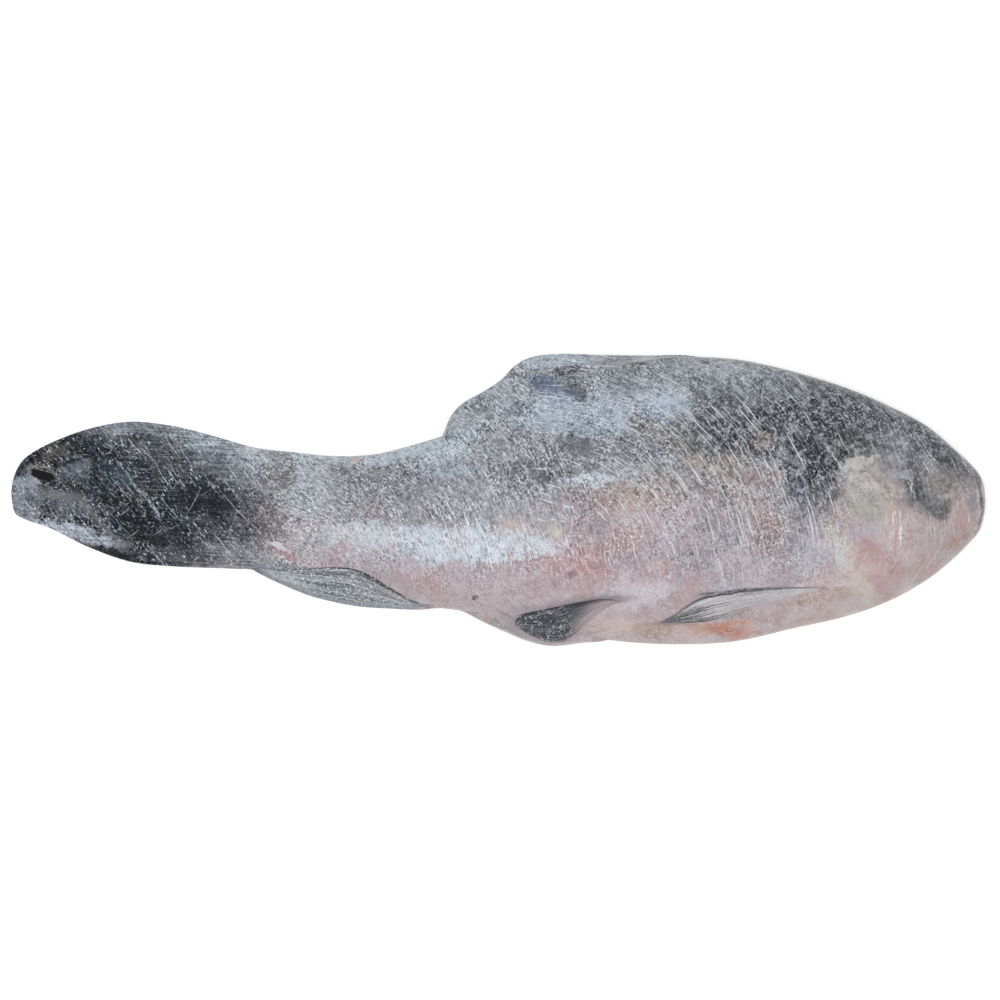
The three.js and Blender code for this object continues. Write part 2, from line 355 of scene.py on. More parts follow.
grooves = {  # deep, wide, and its line
    "cheek": (0.55, 1.5, [(170.7, 13.9), (175.4, 0), (178.5, -13.9), (178.5, -27.8), (174.4, -41.8)]),
    "plate": (0.3, 1.2, [(154, -6), (158.5, -12), (164, -16.7), (170, -20.9), (176, -24)]),
    "mouth": (1.1, 0.9, [(225, -11), (219, -14.6), (213, -17.6), (207, -20)]),
}
eye = {
    "x": 204, "y": 7.6, "radius": 5.6, "bulge": 0.35, "sunk": 0.1, "socket": (0.12, 1.4, 0.4),
    "lens": (0.05, 0.42, 0.12),  # high, how far out, wide, as shares of the radius
}


def fromLine(x, y, points):  # signed distance of points from an open line, positive on its right
    best = signed = np.full(x.shape, np.inf)
    for (ax, ay), (bx, by) in zip(points, points[1:]):
        dx, dy = bx - ax, by - ay
        share = np.clip(((x - ax) * dx + (y - ay) * dy) / (dx * dx + dy * dy), 0, 1)
        offX, offY = x - ax - share * dx, y - ay - share * dy
        distance = np.hypot(offX, offY)
        side = np.sign(offX * dy - offY * dx)
        nearer = distance < best
        best = np.where(nearer, distance, best)
        signed = np.where(nearer, distance * side, signed)
    return signed


def eased(value, low, high):
    share = np.clip((value - low) / (high - low), 0, 1)
    return share * share * (3 - 2 * share)


def softMax(a, b, blend):
    share = np.clip(0.5 + (a - b) / (2 * blend), 0, 1)
    return b + (a - b) * share + blend * share * (1 - share)


trunkAt = readByX(trunk["ribs"])
dorsalAt = readByX(trunk["dorsalEdge"])
analAt = readByX(trunk["analEdge"])
pelvicAt = readByX(trunk["pelvicEdge"])


def outlineAt(x):
    back, belly = trunkAt(x)[:2]
    top = softMax(back, dorsalAt(x, -99), 0.6)
    bottom = -softMax(-belly, softMax(-analAt(x, 99), -pelvicAt(x, 99), 0.5), 0.6)
    return top, bottom


def swelling(offset, width):  # 1 in the middle, falling off softly
    return np.exp(-((offset / width) ** 2))


def flankRelief(x, y):  # low forms that stand on the flank or are sunk in it
    toGill = -fromLine(x, y, gill["edge"])
    relief = gill["high"] * eased(toGill, -0.9, 0.7) * np.exp(-np.clip(toGill, 0, None) / gill["fade"])
    relief -= gill["rim"] * swelling(toGill + gill["rimWide"], gill["rimWide"])
    for deep, wide, line in grooves.values():
        relief -= deep * swelling(fromLine(x, y, line), wide)
    toEye = np.hypot(x - eye["x"], y - eye["y"]) / eye["radius"]
    high, out, wide = eye["socket"]
    return relief + high * swelling(toEye - out, wide) - eye["sunk"] * eased(toEye, 1.2, 0.8)


def tailRelief(x, share):  # share runs from -1 at the lower edge to 1 at the upper
    folds, rays, window = trunk["folds"], trunk["rays"], trunk["window"]
    along = np.clip((x - folds["start"]) / (folds["end"] - folds["start"]), 0, 1)
    swell = np.sin(np.pi * along) ** 2
    bunch = folds["depth"] * np.cos(np.pi * folds["count"] * share)
    fine = rays["depth"] * np.cos(np.pi * rays["count"] * (share + rays["waver"] * np.sin(x / 9)))
    inWindow = ((x - window["x"]) / window["long"]) ** 2 + ((share - window["share"]) / window["wide"]) ** 2
    return swell * (bunch + fine) - window["depth"] * swelling(inWindow, 1)


def trunkHeight(x, y, atEdge):  # how far the surface stands out from the middle plane
    back, belly, half = trunkAt(x)[:3]
    top, bottom = outlineAt(x)
    inner = np.clip((y - (back + belly) / 2) / np.maximum((back - belly) / 2, tiny), -1, 1)
    body = half * np.sqrt(1 - inner * inner) * (1 - trunk["taper"] * inner)
    beyond = np.maximum(np.maximum(y - back, belly - y), 0)
    isUpper = inner > 0
    reach = np.where(isUpper, top - back, belly - bottom)  # of the fin on the same side of the middle
    isFin = eased(reach, 0.2, np.where(isUpper, trunk["finFull"]["dorsal"], trunk["finFull"]["belly"]))
    isPaunch = ~isUpper & (x > trunk["ventX"])
    thins = np.where(isPaunch, np.maximum(reach, trunk["paunchTaper"]), reach)
    fromRoot = np.clip(beyond / np.maximum(thins, tiny), 0, 1)
    toEdge = np.clip(beyond / np.maximum(reach, tiny), 0, 1)
    root = np.minimum(trunk["finRoot"], 0.55 * half)
    plate = trunk["finHalf"] + (root - trunk["finHalf"]) * (1 - fromRoot) ** 1.6
    rounded = np.clip((toEdge - 1 + trunk["rounding"]) / trunk["rounding"], 0, 1)
    height = softMax(body, plate * np.sqrt(1 - rounded**2) * isFin, 1.6) - 0.4
    height = np.where(atEdge, 0, np.maximum(height, 0.05))
    height = height + eased(x, *trunk["tail"]) * np.minimum(height / 2, 1) * tailRelief(x, inner)
    return height + eased(height, 1, 5) * flankRelief(x, y)


def buildTrunk(materials):
    cols, rows = trunk["stations"], trunk["around"]
    bm, table = gridPiece(cols, rows)
    share = np.linspace(0, 1, cols + 1)
    share = share - 0.5 * np.sin(2 * np.pi * share) / (2 * np.pi)  # closer together at both ends
    first, last = trunk["ribs"][0][0], trunk["ribs"][-1][0]
    angle = 2 * np.pi * np.linspace(0, 1, rows + 1)
    x, turn = np.meshgrid(first + (last - first) * share, angle, indexing="ij")
    top, bottom = outlineAt(x)
    y = (top + bottom) / 2 + (top - bottom) / 2 * np.cos(turn)
    side = np.sign(np.sin(turn))
    height = trunkHeight(x, y, np.abs(np.sin(turn)) < tiny)
    sizes = trunk["lumps"]
    lumps = np.array([
        sum(noise.noise(Vector((px / long, py / wide, way + off))) * high for long, wide, off, high in sizes)
        for px, py, way in zip(x.flat, y.flat, side.flat)
    ]).reshape(x.shape)
    height = height + eased(height, 1, 7) * lumps
    z = softMax(trunkAt(x)[3] + side * height, np.zeros_like(x), 0.5)  # not below the floor
    z[0, :] = z[0].mean()
    z[-1, :] = z[-1].mean()
    spots = np.stack([x, y, z], axis=-1)
    steps = np.linalg.norm(np.diff(spots, axis=1), axis=-1)
    girth = np.concatenate([np.zeros((cols + 1, 1)), np.cumsum(steps, axis=1)], axis=1)
    quarter = girth[:, [rows // 4]]
    mapY = (top + bottom) / 2 - (girth - quarter)
    wrapGrid(bm, table, spots, np.stack([x, mapY], axis=-1) / perMetre)
    starts = [region[0] for region in skinRegions.values()]
    for face in bm.faces:
        face.material_index = sum(face.calc_center_median().x >= start for start in starts) - 1
    tree = BVHTree.FromBMesh(bm)
    return finishPiece("skin", bm, materials), tree


rayStart = 200  # well above and below the fish
pectoral = {  # the fins lie on the flanks
    "ribs": [  # upper and lower edge, from the root to the tip
        (152, -41, 152, -41), (142, -40.4, 139, -44.4), (126, -40.8, 127, -48.4), (114, -41.8, 116, -50.2),
        (102, -43.3, 105.5, -53.8), (93, -45.2, 97, -56), (86.5, -48.8, 88.6, -56.8), (80.4, -53, 81, -57),
        (73.3, -57, 73.3, -57),
    ],
    "half": 0.6, "upperLift": 0.7, "lowerLift": -0.1, "rays": 15, "rayDepth": 0.16,
    "bend": 0.5, "sunk": 1.6,
}
pelvic = {
    "ribs": [
        (57, -47, 57, -47), (50, -45.8, 51, -49), (42.5, -46.2, 45, -53.4), (34.5, -47.6, 38.6, -59.4),
        (27, -49.2, 33.6, -64.6), (19.6, -50.8, 28.4, -66.4), (12.4, -52.2, 21.6, -66), (7.8, -54, 14, -63),
        (6.6, -58, 6.6, -58),
    ],
    "half": 0.5, "upperLift": 0.4, "lowerLift": 0.0, "rays": 13, "rayDepth": 0.14,
    "bend": 0.5, "sunk": 1.6,
}
anal = {
    "ribs": [
        (-30, -49, -30, -49), (-39.4, -47.3, -41, -49.9), (-46, -43.6, -48, -49.8),
        (-53.4, -39.2, -56, -49.3), (-61, -34.6, -65, -48.4), (-69, -31.8, -74, -46.6),
        (-79, -31.2, -84, -44.2), (-90, -31.8, -94, -40.8), (-101, -32.4, -104, -36.6),
        (-113, -31.2, -113, -31.2),
    ],
    "half": 0.45, "upperLift": 0.25, "lowerLift": -0.2, "rays": 16, "rayDepth": 0.13,
    "bend": 0.5, "sunk": 1.6,
}


def buildDraped(name, side, flank, material, grid, pointAt):  # pointAt gives x, y, rise and map
    cols, rows = grid
    bm, table = gridPiece(cols, rows)
    spots = np.zeros((cols + 1, rows + 1, 3))
    mapSpots = np.zeros((cols + 1, rows + 1, 2))
    for i in range(cols + 1):
        for j in range(rows + 1):
            x, y, rise, mapSpots[i, j] = pointAt(i / cols, j / rows)
            hit = flank.ray_cast(Vector((x, y, side * rayStart)), Vector((0, 0, -side)))[0]
            spots[i, j] = (x, y, hit.z + side * rise)
    wrapGrid(bm, table, spots, mapSpots)
    return finishPiece(name, bm, [material])


def buildFin(name, size, side, flank, material):
    line = smoothRows(size["ribs"])

    def pointAt(place, around):
        upperX, upperY, lowerX, lowerY = line(place)
        swell = math.sin(math.pi * place) ** 0.5 if 0 < place < 1 else 0.0
        turn = 2 * math.pi * around
        share = (1 - math.cos(turn)) / 2
        x, y = upperX + (lowerX - upperX) * share, upperY + (lowerY - upperY) * share
        ray = size["rayDepth"] * math.cos(2 * math.pi * size["rays"] * (share + 0.01 * math.sin(x / 3)))
        lift = size["upperLift"] + (size["lowerLift"] - size["upperLift"]) * share
        out = size["half"] + ray if turn < math.pi else -size["sunk"]
        return x, y, (lift + out * abs(math.sin(turn)) ** size["bend"]) * swell, (place, share)

    return buildDraped(name, side, flank, material, (90, 96), pointAt)


def buildEye(name, side, flank, material):
    high, out, wide = eye["lens"]

    def pointAt(place, around):
        tilt, turn = math.pi * place, 2 * math.pi * around
        ring = math.sin(tilt)
        across, up = ring * math.cos(turn), ring * math.sin(turn)
        isOuter = tilt < math.pi / 2
        dome = eye["bulge"] * math.cos(tilt) * (1 if isOuter else 0.8)
        lens = high * math.exp(-((ring - out) / wide) ** 2) * isOuter
        x, y = eye["x"] + eye["radius"] * across, eye["y"] + eye["radius"] * up
        return x, y, dome - lens - eye["sunk"], (0.5 + 0.5 * across, 0.5 + 0.5 * up)

    return buildDraped(name, side, flank, material, (40, 64), pointAt)


# The skin's paint: soft-edged patches, each laid over the ones before it, as
# x, y, long, wide, turn, colour, strength and softness.
skinFields = [
    (60, -72, 170, 44, 0, (187, 170, 174), 1.0, 0.5),  # belly
    (70, 56, 125, 40, -4, (136, 140, 147), 0.95, 0.45),  # back
    (-10, 12, 70, 26, -6, (151, 153, 160), 0.9, 0.5),  # behind the dorsal fin
    (-80, 4, 45, 18, 0, (148, 149, 156), 0.9, 0.5),  # narrow of the tail
    (90, -28, 45, 22, 0, (174, 163, 169), 0.8, 0.5),  # flank under the arcs
    (188, -14, 46, 40, 0, (185, 171, 171), 0.95, 0.4),  # cheek
    (-60, -26, 62, 8, -12, (175, 166, 172), 0.9, 0.5),  # pink above the anal fin
    (18, -37, 60, 13, -2, (185, 168, 173), 0.85, 0.5),  # pink ahead of the vent
]
skinPatches = [
    # back and dorsal fin
    (20, 65, 28, 4, 0, (172, 182, 194), 0.85, 0.5),
    (-12, 40, 26, 9, 36, (170, 178, 186), 0.8, 0.5),
    (-22, 28, 14, 5, 14, (150, 164, 174), 0.85, 0.5),
    (-44, 22, 30, 4.2, 8, (194, 205, 214), 0.9, 0.5),
    (34, 40, 32, 10, -3, (174, 188, 204), 0.85, 0.5),
    (74, 43, 30, 9.6, -12, (186, 197, 210), 0.85, 0.5),
    (20, 54.8, 9, 3.6, -5, (84, 92, 116), 0.85, 0.6),
    (26, 49, 7, 3, -25, (124, 139, 168), 0.7, 0.6),
    (35, 50, 7, 3.6, -35, (84, 86, 91), 0.9, 0.4),
    (57, 56, 8, 5, 0, (122, 128, 138), 0.7, 0.5),
    (31, 60, 8, 2.8, 6, (84, 86, 90), 0.85, 0.5),
    (34, 23.6, 13, 5, -8, (106, 109, 115), 0.95, 0.3),
    (98, 57, 22, 6.4, -8, (182, 189, 198), 0.85, 0.5),
    (128, 56, 20, 4, -14, (128, 132, 138), 0.6, 0.5),
    (-9, 44, 8, 2.6, 24, (112, 114, 120), 0.75, 0.4),
    (-4, 35, 8, 2.6, 20, (110, 113, 119), 0.75, 0.4),
    (9, 42, 7, 4, 20, (104, 108, 112), 0.7, 0.4),
    (10, 14, 9, 5, 0, (122, 124, 130), 0.7, 0.4),
    (62, 62.6, 7, 2.2, 4, (98, 98, 106), 0.8, 0.4),
    (38, 14, 20, 7, -4, (136, 137, 142), 0.8, 0.4),
    (44, 10, 12, 2.6, 8, (206, 216, 224), 0.85, 0.45),
    (88, 28, 30, 11, -24, (112, 111, 112), 0.85, 0.4),
    (75, 31, 10, 4, -28, (138, 132, 128), 0.7, 0.4),
    (-24, 8, 36, 11, -4, (126, 127, 134), 0.75, 0.5),
    (-6, 1, 26, 9, 0, (168, 169, 177), 0.6, 0.5),
    (-58, 11, 22, 7, -3, (134, 134, 140), 0.7, 0.5),
    # warm flank behind the arcs
    (42, -2, 17, 7, 0, (158, 141, 143), 0.8, 0.9),
    (36, -26, 14, 7, -8, (188, 147, 152), 0.75, 1.0),
    (37, -14, 9, 7, 0, (176, 150, 153), 0.6, 1.0),
    (65, 1, 18, 6.4, -8, (174, 151, 143), 0.85, 0.9),
    (76, 9, 12, 4, -12, (160, 142, 132), 0.6, 0.9),
    (107, 3, 9, 7, 0, (166, 144, 136), 0.55, 0.8),
    (58, -5, 9, 5, 0, (196, 172, 170), 0.6, 0.9),
    (26, -5, 9, 5, 0, (186, 182, 188), 0.6, 0.9),
    (30, -5, 8, 6, 0, (160, 150, 158), 0.7, 0.4),
    (95, 15, 14, 4, -20, (164, 148, 138), 0.75, 0.4),
    (90, 8, 9, 6, 10, (150, 136, 136), 0.7, 0.45),
    (78, -9, 13, 6, 10, (186, 172, 180), 0.85, 0.4),
    (61, -22, 9, 9, 0, (180, 162, 166), 0.7, 0.9),
    (65, -43, 15, 5, 4, (206, 200, 208), 0.8, 0.45),
    (38, -31, 15, 6, -10, (188, 148, 151), 0.8, 0.9),
    (57, -14, 4, 8, 12, (138, 130, 138), 0.55, 0.4),
    (72, -32, 8, 5, 0, (190, 164, 165), 0.7, 0.4),
    (59, -12, 8, 8, 0, (198, 184, 188), 0.75, 0.9),
    (74, -14, 9, 6, 0, (188, 180, 188), 0.7, 0.9),
    (26, -23, 8, 5, 0, (206, 196, 204), 0.6, 0.9),
    (9, -14, 10, 5, 0, (220, 206, 213), 0.75, 0.9),
    (58, -28, 9, 7, 0, (166, 154, 162), 0.5, 0.9),
    (60, -60, 14, 3, 0, (216, 200, 198), 0.7, 0.6),
    (90, 51, 11, 5, -10, (208, 216, 226), 0.75, 0.6),
    (74, 42, 9, 5, 0, (176, 196, 222), 0.5, 0.8),
    (42, 32, 9, 4, -10, (128, 136, 146), 0.5, 0.8),
    (58, 51, 9, 4, 0, (112, 116, 124), 0.5, 0.6),
    (58, 23, 8, 5, -20, (112, 112, 116), 0.6, 0.6),
    (25, 18, 10, 8, 0, (108, 110, 116), 0.5, 0.6),
    (90, -52, 12, 3, 0, (204, 190, 190), 0.6, 0.6),
    (107, -51, 9, 3, 0, (152, 136, 136), 0.7, 0.6),
    (107, -40, 10, 3, 0, (194, 190, 199), 0.6, 0.5),
    (150, -42, 15, 4.6, 6, (232, 219, 219), 0.85, 0.7),
    (56, -60, 14, 5, 0, (198, 180, 178), 0.7, 0.5),
    (11, -11, 9, 5, 0, (184, 172, 173), 0.7, 0.5),
    (17, 13.4, 14, 5, 0, (108, 111, 116), 0.7, 0.5),
    # frost along the lower flank, with a painted reflection of the light along the flank's crest
    (-62, -16.2, 29, 5.4, -3, (210, 217, 226), 0.95, 0.45),
    (-33, -32, 26, 3.6, -2, (192, 184, 192), 0.7, 0.5),
    (-16, -20.4, 26, 8, 1, (216, 226, 237), 0.95, 0.35),
    (7, -20.6, 18, 7, -3, (214, 219, 229), 0.9, 0.45),
    (-24, -14, 20, 3, 0, (216, 224, 234), 0.6, 0.8),
    (-23, -25, 24, 4, 0, (206, 218, 232), 0.65, 0.8),
    (-6, -25, 12, 4, 0, (220, 228, 238), 0.7, 0.7),
    (-68, -24, 16, 3, -6, (204, 204, 212), 0.5, 0.8),
    # front flank
    (121, 48, 42, 13, -14, (108, 112, 118), 0.8, 0.5),
    (112, 33, 26, 12, -20, (70, 72, 75), 0.95, 0.4),
    (157, 35, 19, 13, -30, (62, 64, 68), 0.95, 0.35),
    (145, 13, 11, 17, 26, (58, 62, 72), 0.95, 0.35),
    (138, 41, 13, 6, -20, (54, 57, 61), 0.85, 0.5),
    (109, 31, 14, 5.6, -25, (44, 45, 47), 0.85, 0.6),
    (128, 33, 14, 6, -25, (52, 54, 58), 0.75, 0.6),
    (143, 12, 11, 11, 20, (38, 41, 50), 0.8, 0.6),
    # painted light: paler along the upper rim, where the steep slope turns away from the light
    (105, 60, 20, 3.4, -6, (184, 191, 200), 0.55, 0.6),
    (106, 42, 9, 4, -15, (134, 138, 144), 0.45, 0.7),
    (122, 37, 24, 5, -18, (60, 62, 66), 0.4, 0.8),
    (90, -5, 9, 5, 0, (200, 186, 190), 0.55, 0.9),
    (140, -4, 7, 14, 22, (84, 85, 96), 0.85, 0.6),
    (124, -14, 7, 8, 10, (134, 118, 121), 0.6, 0.8),
    (137, -22, 6, 8, 22, (150, 148, 158), 0.7, 0.45),
    (151, 2, 6, 8, 20, (120, 119, 122), 0.7, 0.4),
    (121, 27, 5, 4.6, 0, (160, 146, 136), 0.7, 0.35),
    (106, 17, 9, 3.4, 8, (154, 138, 128), 0.75, 0.35),
    (120, 10, 9, 6, 0, (158, 138, 139), 0.85, 0.4),
    (103.5, 2, 2.4, 6, 14, (84, 84, 94), 0.8, 0.3),
    (95.5, -9, 6, 7, 0, (134, 130, 140), 0.7, 0.4),
    (105, -14, 6, 16, 10, (156, 147, 154), 0.75, 0.4),
    (121, -12, 7, 14, 10, (162, 140, 141), 0.8, 0.45),
    (88, -27, 14, 5, 0, (150, 142, 150), 0.6, 0.4),
    (150, -10, 10, 6, 20, (140, 134, 141), 0.5, 0.8),
    (145, -28, 7, 12, 20, (186, 184, 194), 0.8, 0.45),
    (150, -49, 28, 8, 10, (180, 160, 153), 0.9, 0.45),
    (152, -34, 14, 6, 20, (198, 182, 184), 0.6, 0.5),
    (72, -60, 13, 3.4, 4, (178, 154, 142), 0.9, 0.4),
    (90, -60, 12, 3.4, 0, (192, 152, 134), 0.8, 0.4),
    (108, -60, 13, 4.4, 2, (190, 134, 113), 0.95, 0.4),
    # narrow of the tail
    (-60, 20.4, 50, 3.6, 1, (184, 196, 205), 0.9, 0.45),
    (-114, 19.6, 26, 5, -14, (188, 199, 207), 0.85, 0.45),
    (-104, 14, 10, 8, 0, (108, 104, 108), 0.8, 0.5),
    (-23, 14, 15, 4, 0, (178, 190, 203), 0.6, 0.8),
    (-88, 4.6, 9, 16, -20, (180, 186, 194), 0.7, 0.5),
    (-97, -21, 16, 5, -35, (160, 162, 168), 0.75, 0.45),
    (-109, -10, 9, 13, 0, (108, 96, 99), 0.9, 0.45),
    (-104, 9, 8, 9, 0, (124, 119, 122), 0.6, 0.5),
    (-104, -13, 7, 6, 0, (138, 128, 133), 0.6, 0.6),
    (-88, -14, 10, 6, -10, (146, 142, 149), 0.65, 0.7),
    (-56, -4.6, 15, 5, 0, (136, 137, 144), 0.55, 0.7),
    (-104, -31, 12, 4, -22, (186, 190, 196), 0.8, 0.6),
    (-102, -22.6, 7, 3.2, -14, (160, 126, 130), 0.8, 0.4),
    (-84, -29.6, 12, 3.2, 8, (184, 166, 172), 0.85, 0.4),
    (-93, -30.4, 12, 3.6, -8, (196, 184, 190), 0.85, 0.4),
    (-68, -51, 32, 6.5, 2, (150, 156, 163), 0.95, 0.3),
    (-88, -42, 32, 9, -22, (142, 147, 154), 0.95, 0.3),
    (-2, -60, 16, 3.6, -25, (156, 154, 150), 0.85, 0.4),
    # tail
    (-178, 3.6, 60, 42, 0, (16, 19, 25), 1.0, 0.3),
    (-146, 19, 32, 9, -12, (84, 87, 91), 0.9, 0.5),
    (-146, 8, 26, 6, -6, (50, 53, 58), 0.85, 0.5),
    (-153, -7, 16, 6, 0, (14, 17, 23), 0.8, 0.6),
    (-152, 14, 9, 3.4, -8, (66, 69, 74), 0.6, 0.8),
    (-202, -4.6, 7, 3, 0, (176, 182, 190), 0.6, 0.8),
    (-172, -13, 12, 5, -12, (14, 17, 22), 0.7, 0.6),
    (-172, 12, 8, 8, 20, (54, 62, 71), 0.8, 0.5),
    (-134, 21, 14, 7, -30, (148, 158, 166), 0.85, 0.5),
    (-130, -14, 14, 5, -4, (104, 106, 112), 0.4, 0.7),
    (-120, -14, 8, 6, 0, (146, 138, 142), 0.6, 0.8),
    (-121, -10, 9, 18, 0, (70, 72, 78), 0.8, 0.5),
    (-136, 27, 28, 4.4, -20, (184, 196, 205), 0.85, 0.5),
    (-119, 14, 9, 8, -30, (166, 173, 181), 0.8, 0.5),
    (-117, 22, 10, 4, -20, (188, 198, 205), 0.8, 0.5),
    (-119, 4, 6, 7, 0, (112, 113, 119), 0.7, 0.5),
    (-202, -5, 9, 4, -10, (156, 163, 172), 0.8, 0.6),
    (-153, -24, 11, 3, 0, (124, 129, 136), 0.75, 0.6),
    (-160, 33.4, 18, 4, -6, (154, 161, 168), 0.85, 0.5),
    (-181, 33.4, 15, 2.6, 8, (160, 168, 177), 0.8, 0.5),
    (-181, 28, 5, 3.4, 0, (142, 150, 158), 0.6, 0.8),
    (-186, 23, 12, 5, 0, (22, 25, 31), 0.6, 0.6),
    (-206, 22.4, 9, 3, 25, (66, 62, 57), 0.9, 0.35),
    (-198, 14, 8, 5, 20, (140, 148, 156), 0.8, 0.6),
    (-220, 2, 6.4, 11, 0, (188, 197, 208), 0.85, 0.5),
    (-204, -1, 18, 6.5, -10, (76, 80, 86), 0.85, 0.5),
    (-181, 14, 8, 8, 0, (34, 43, 54), 0.7, 0.45),
    (-198, -15.4, 24, 3.3, -15, (198, 209, 222), 0.95, 0.5),
    (-182, -24, 12, 2.4, -14, (22, 24, 30), 0.95, 0.4),
    (-146, -26.6, 20, 2.4, -4, (84, 86, 92), 0.8, 0.45),
    (-122, -24.6, 18, 4.4, -12, (150, 151, 155), 0.8, 0.5),
]
headPatches = [
    (176, 36, 38, 9, -29, (72, 75, 80), 0.95, 0.4),
    (201, 26, 18, 7, -44, (58, 61, 66), 0.92, 0.4),
    (183, 20, 12, 11, -38, (142, 141, 147), 0.95, 0.5),
    (165, 17, 9, 10, 0, (124, 125, 122), 0.75, 0.4),
    (154, 22, 9, 7, -10, (54, 56, 59), 0.92, 0.5),
    (169, 26, 11, 4.6, -16, (88, 90, 90), 0.85, 0.5),
    (169, -3.6, 10, 11, 0, (173, 171, 165), 0.95, 0.45),
    (167, -14, 6, 4, 0, (180, 175, 186), 0.8, 0.5),
    (172.6, -30, 9, 13, 25, (188, 154, 156), 0.9, 0.5),
    (161, -29, 21, 4.2, -62, (204, 196, 182), 0.9, 0.5),
    (155, -24, 8, 3.4, -60, (202, 203, 204), 0.85, 0.5),
    (181, -6, 3, 11, 2, (186, 164, 152), 0.6, 0.7),
    (182.6, -21, 3.4, 13, 2, (186, 138, 148), 0.8, 0.7),
    (170, -33, 7, 5, 20, (206, 184, 186), 0.6, 0.8),
    (193, -15, 9, 12, 0, (182, 173, 174), 0.8, 0.6),
    (193, -31, 8, 7, 0, (182, 158, 158), 0.75, 0.6),
    (188, -23, 8, 7, 0, (186, 160, 157), 0.5, 0.9),
    (192, 8, 6.4, 11, 12, (84, 86, 90), 0.95, 0.6),
    (197, 0.6, 11, 4.8, -45, (68, 71, 75), 0.95, 0.5),
    (206, -3.6, 5.6, 2.6, 38, (86, 86, 87), 0.85, 0.6),
    (203, 19, 12, 5.4, -42, (70, 73, 78), 0.9, 0.6),
    (211, 13, 8, 5, -34, (86, 89, 94), 0.85, 0.6),
    (202, 9, 5, 8, 0, (142, 138, 135), 0.85, 0.7),
    (210.4, 7, 3.6, 6, 0, (154, 144, 139), 0.85, 0.7),
    (182.6, 11, 2.8, 2.8, 0, (178, 178, 182), 0.6, 0.7),
    (214, -5.6, 5, 8, 0, (178, 162, 157), 0.85, 0.7),
    (219.6, 1, 2.6, 9, 0, (142, 137, 143), 0.85, 0.6),
    (213.4, -18.6, 9.4, 4.2, 40, (176, 150, 144), 0.8, 0.5),
]
creamPatches = [
    (167, 17, 9, 3.4, 8, (196, 190, 183), 0.95, 0.3),
    (173.4, 12.4, 7, 2.4, -30, (166, 157, 150), 0.8, 0.4),
    (169.4, 8.6, 10.4, 2.8, -20, (200, 193, 189), 0.95, 0.3),
    (179.6, 4.2, 5.6, 3.4, -38, (180, 169, 166), 0.85, 0.35),
    (188.6, 12, 3.4, 2.4, 0, (168, 168, 173), 0.8, 0.5),
]
skinDetails = [  # laid over the grain
    (38, 24.4, 8, 4, -12, (106, 109, 114), 0.5, 0.5),
    (-206.5, 22.4, 7.4, 2.0, 25, (74, 67, 60), 0.5, 0.5),
    (-202, 17.0, 8, 1.1, 20, (20, 20, 24), 0.8, 0.4),
    (-213, 12.6, 7.6, 3.4, -18, (146, 147, 150), 0.6, 0.25),
    (-212.6, 12, 6.4, 2.8, -20, (8, 9, 11), 0.98, 0.2),
    (-206, 2, 10, 2, -8, (126, 128, 131), 0.62, 0.8),
    (-190, -6.5, 11, 1.9, -46, (120, 122, 126), 0.58, 0.8),
    (-178.5, -18, 8, 1.8, -45, (116, 120, 126), 0.45, 0.8),
    (-170, -13, 10, 4, -20, (18, 21, 27), 0.5, 0.8),
    (-131, -3, 12, 4.6, 0, (26, 28, 35), 0.5, 0.7),
    (-176, 11, 7, 3, -40, (72, 84, 96), 0.5, 0.6),
    (-139, 0.6, 17, 5.4, 0, (20, 23, 29), 0.6, 0.5),
    (-182, -24, 11, 2.2, -14, (24, 26, 32), 0.8, 0.4),
    (-150, -20, 14, 4, -4, (34, 37, 43), 0.6, 0.4),
    (34.8, 50, 6, 3.2, -35, (94, 103, 115), 0.7, 0.3),
    (19.5, 54.5, 7, 3, -5, (104, 118, 142), 0.5, 0.4),
    (-103, -21.6, 5.4, 1.3, -22, (224, 229, 235), 0.7, 0.5),
    (-97, -26.4, 5.0, 1.6, -20, (172, 134, 138), 0.5, 0.5),
    (5, -12, 3.0, 2.6, 0, (204, 184, 166), 0.42, 0.9),
    (26.4, -15.6, 2.6, 1.2, 30, (228, 216, 188), 0.6, 0.9),
    (24, -12.4, 1.4, 2.2, 0, (212, 194, 170), 0.4, 0.9),
    (-67, 18.6, 2.0, 1.4, 0, (196, 164, 140), 0.6, 0.6),
    (33, -34.3, 2.2, 1.2, 20, (104, 94, 108), 0.6, 0.9),
    (43, -30.6, 2.4, 0.9, -10, (114, 100, 112), 0.55, 0.9),
    (25, -39, 1.1, 1.6, 0, (126, 110, 122), 0.5, 0.9),
    # painted shade on the skin at the pelvic fin's tip
    (8, -57, 7, 6, 60, (146, 146, 152), 0.6, 0.9),
    (56, -57, 8, 2.6, 4, (208, 188, 184), 0.45, 0.9),
    (43, -57, 6, 2.4, 10, (202, 178, 176), 0.4, 0.9),
    # painted shade on the skin below the pelvic fin and along its upper edge
    (17, -66, 14, 2.2, -6, (152, 150, 154), 0.6, 0.8),
    (33, -47.4, 20, 2.2, 9, (134, 128, 134), 0.5, 0.9),
    (52, -45.6, 9, 1.6, 0, (108, 106, 112), 0.6, 0.8),
    (-11.6, -45, 1.6, 1.1, 0, (84, 68, 72), 0.85, 0.35),
    (-11.2, -45.2, 0.7, 0.45, 0, (170, 150, 150), 0.7, 0.35),
]
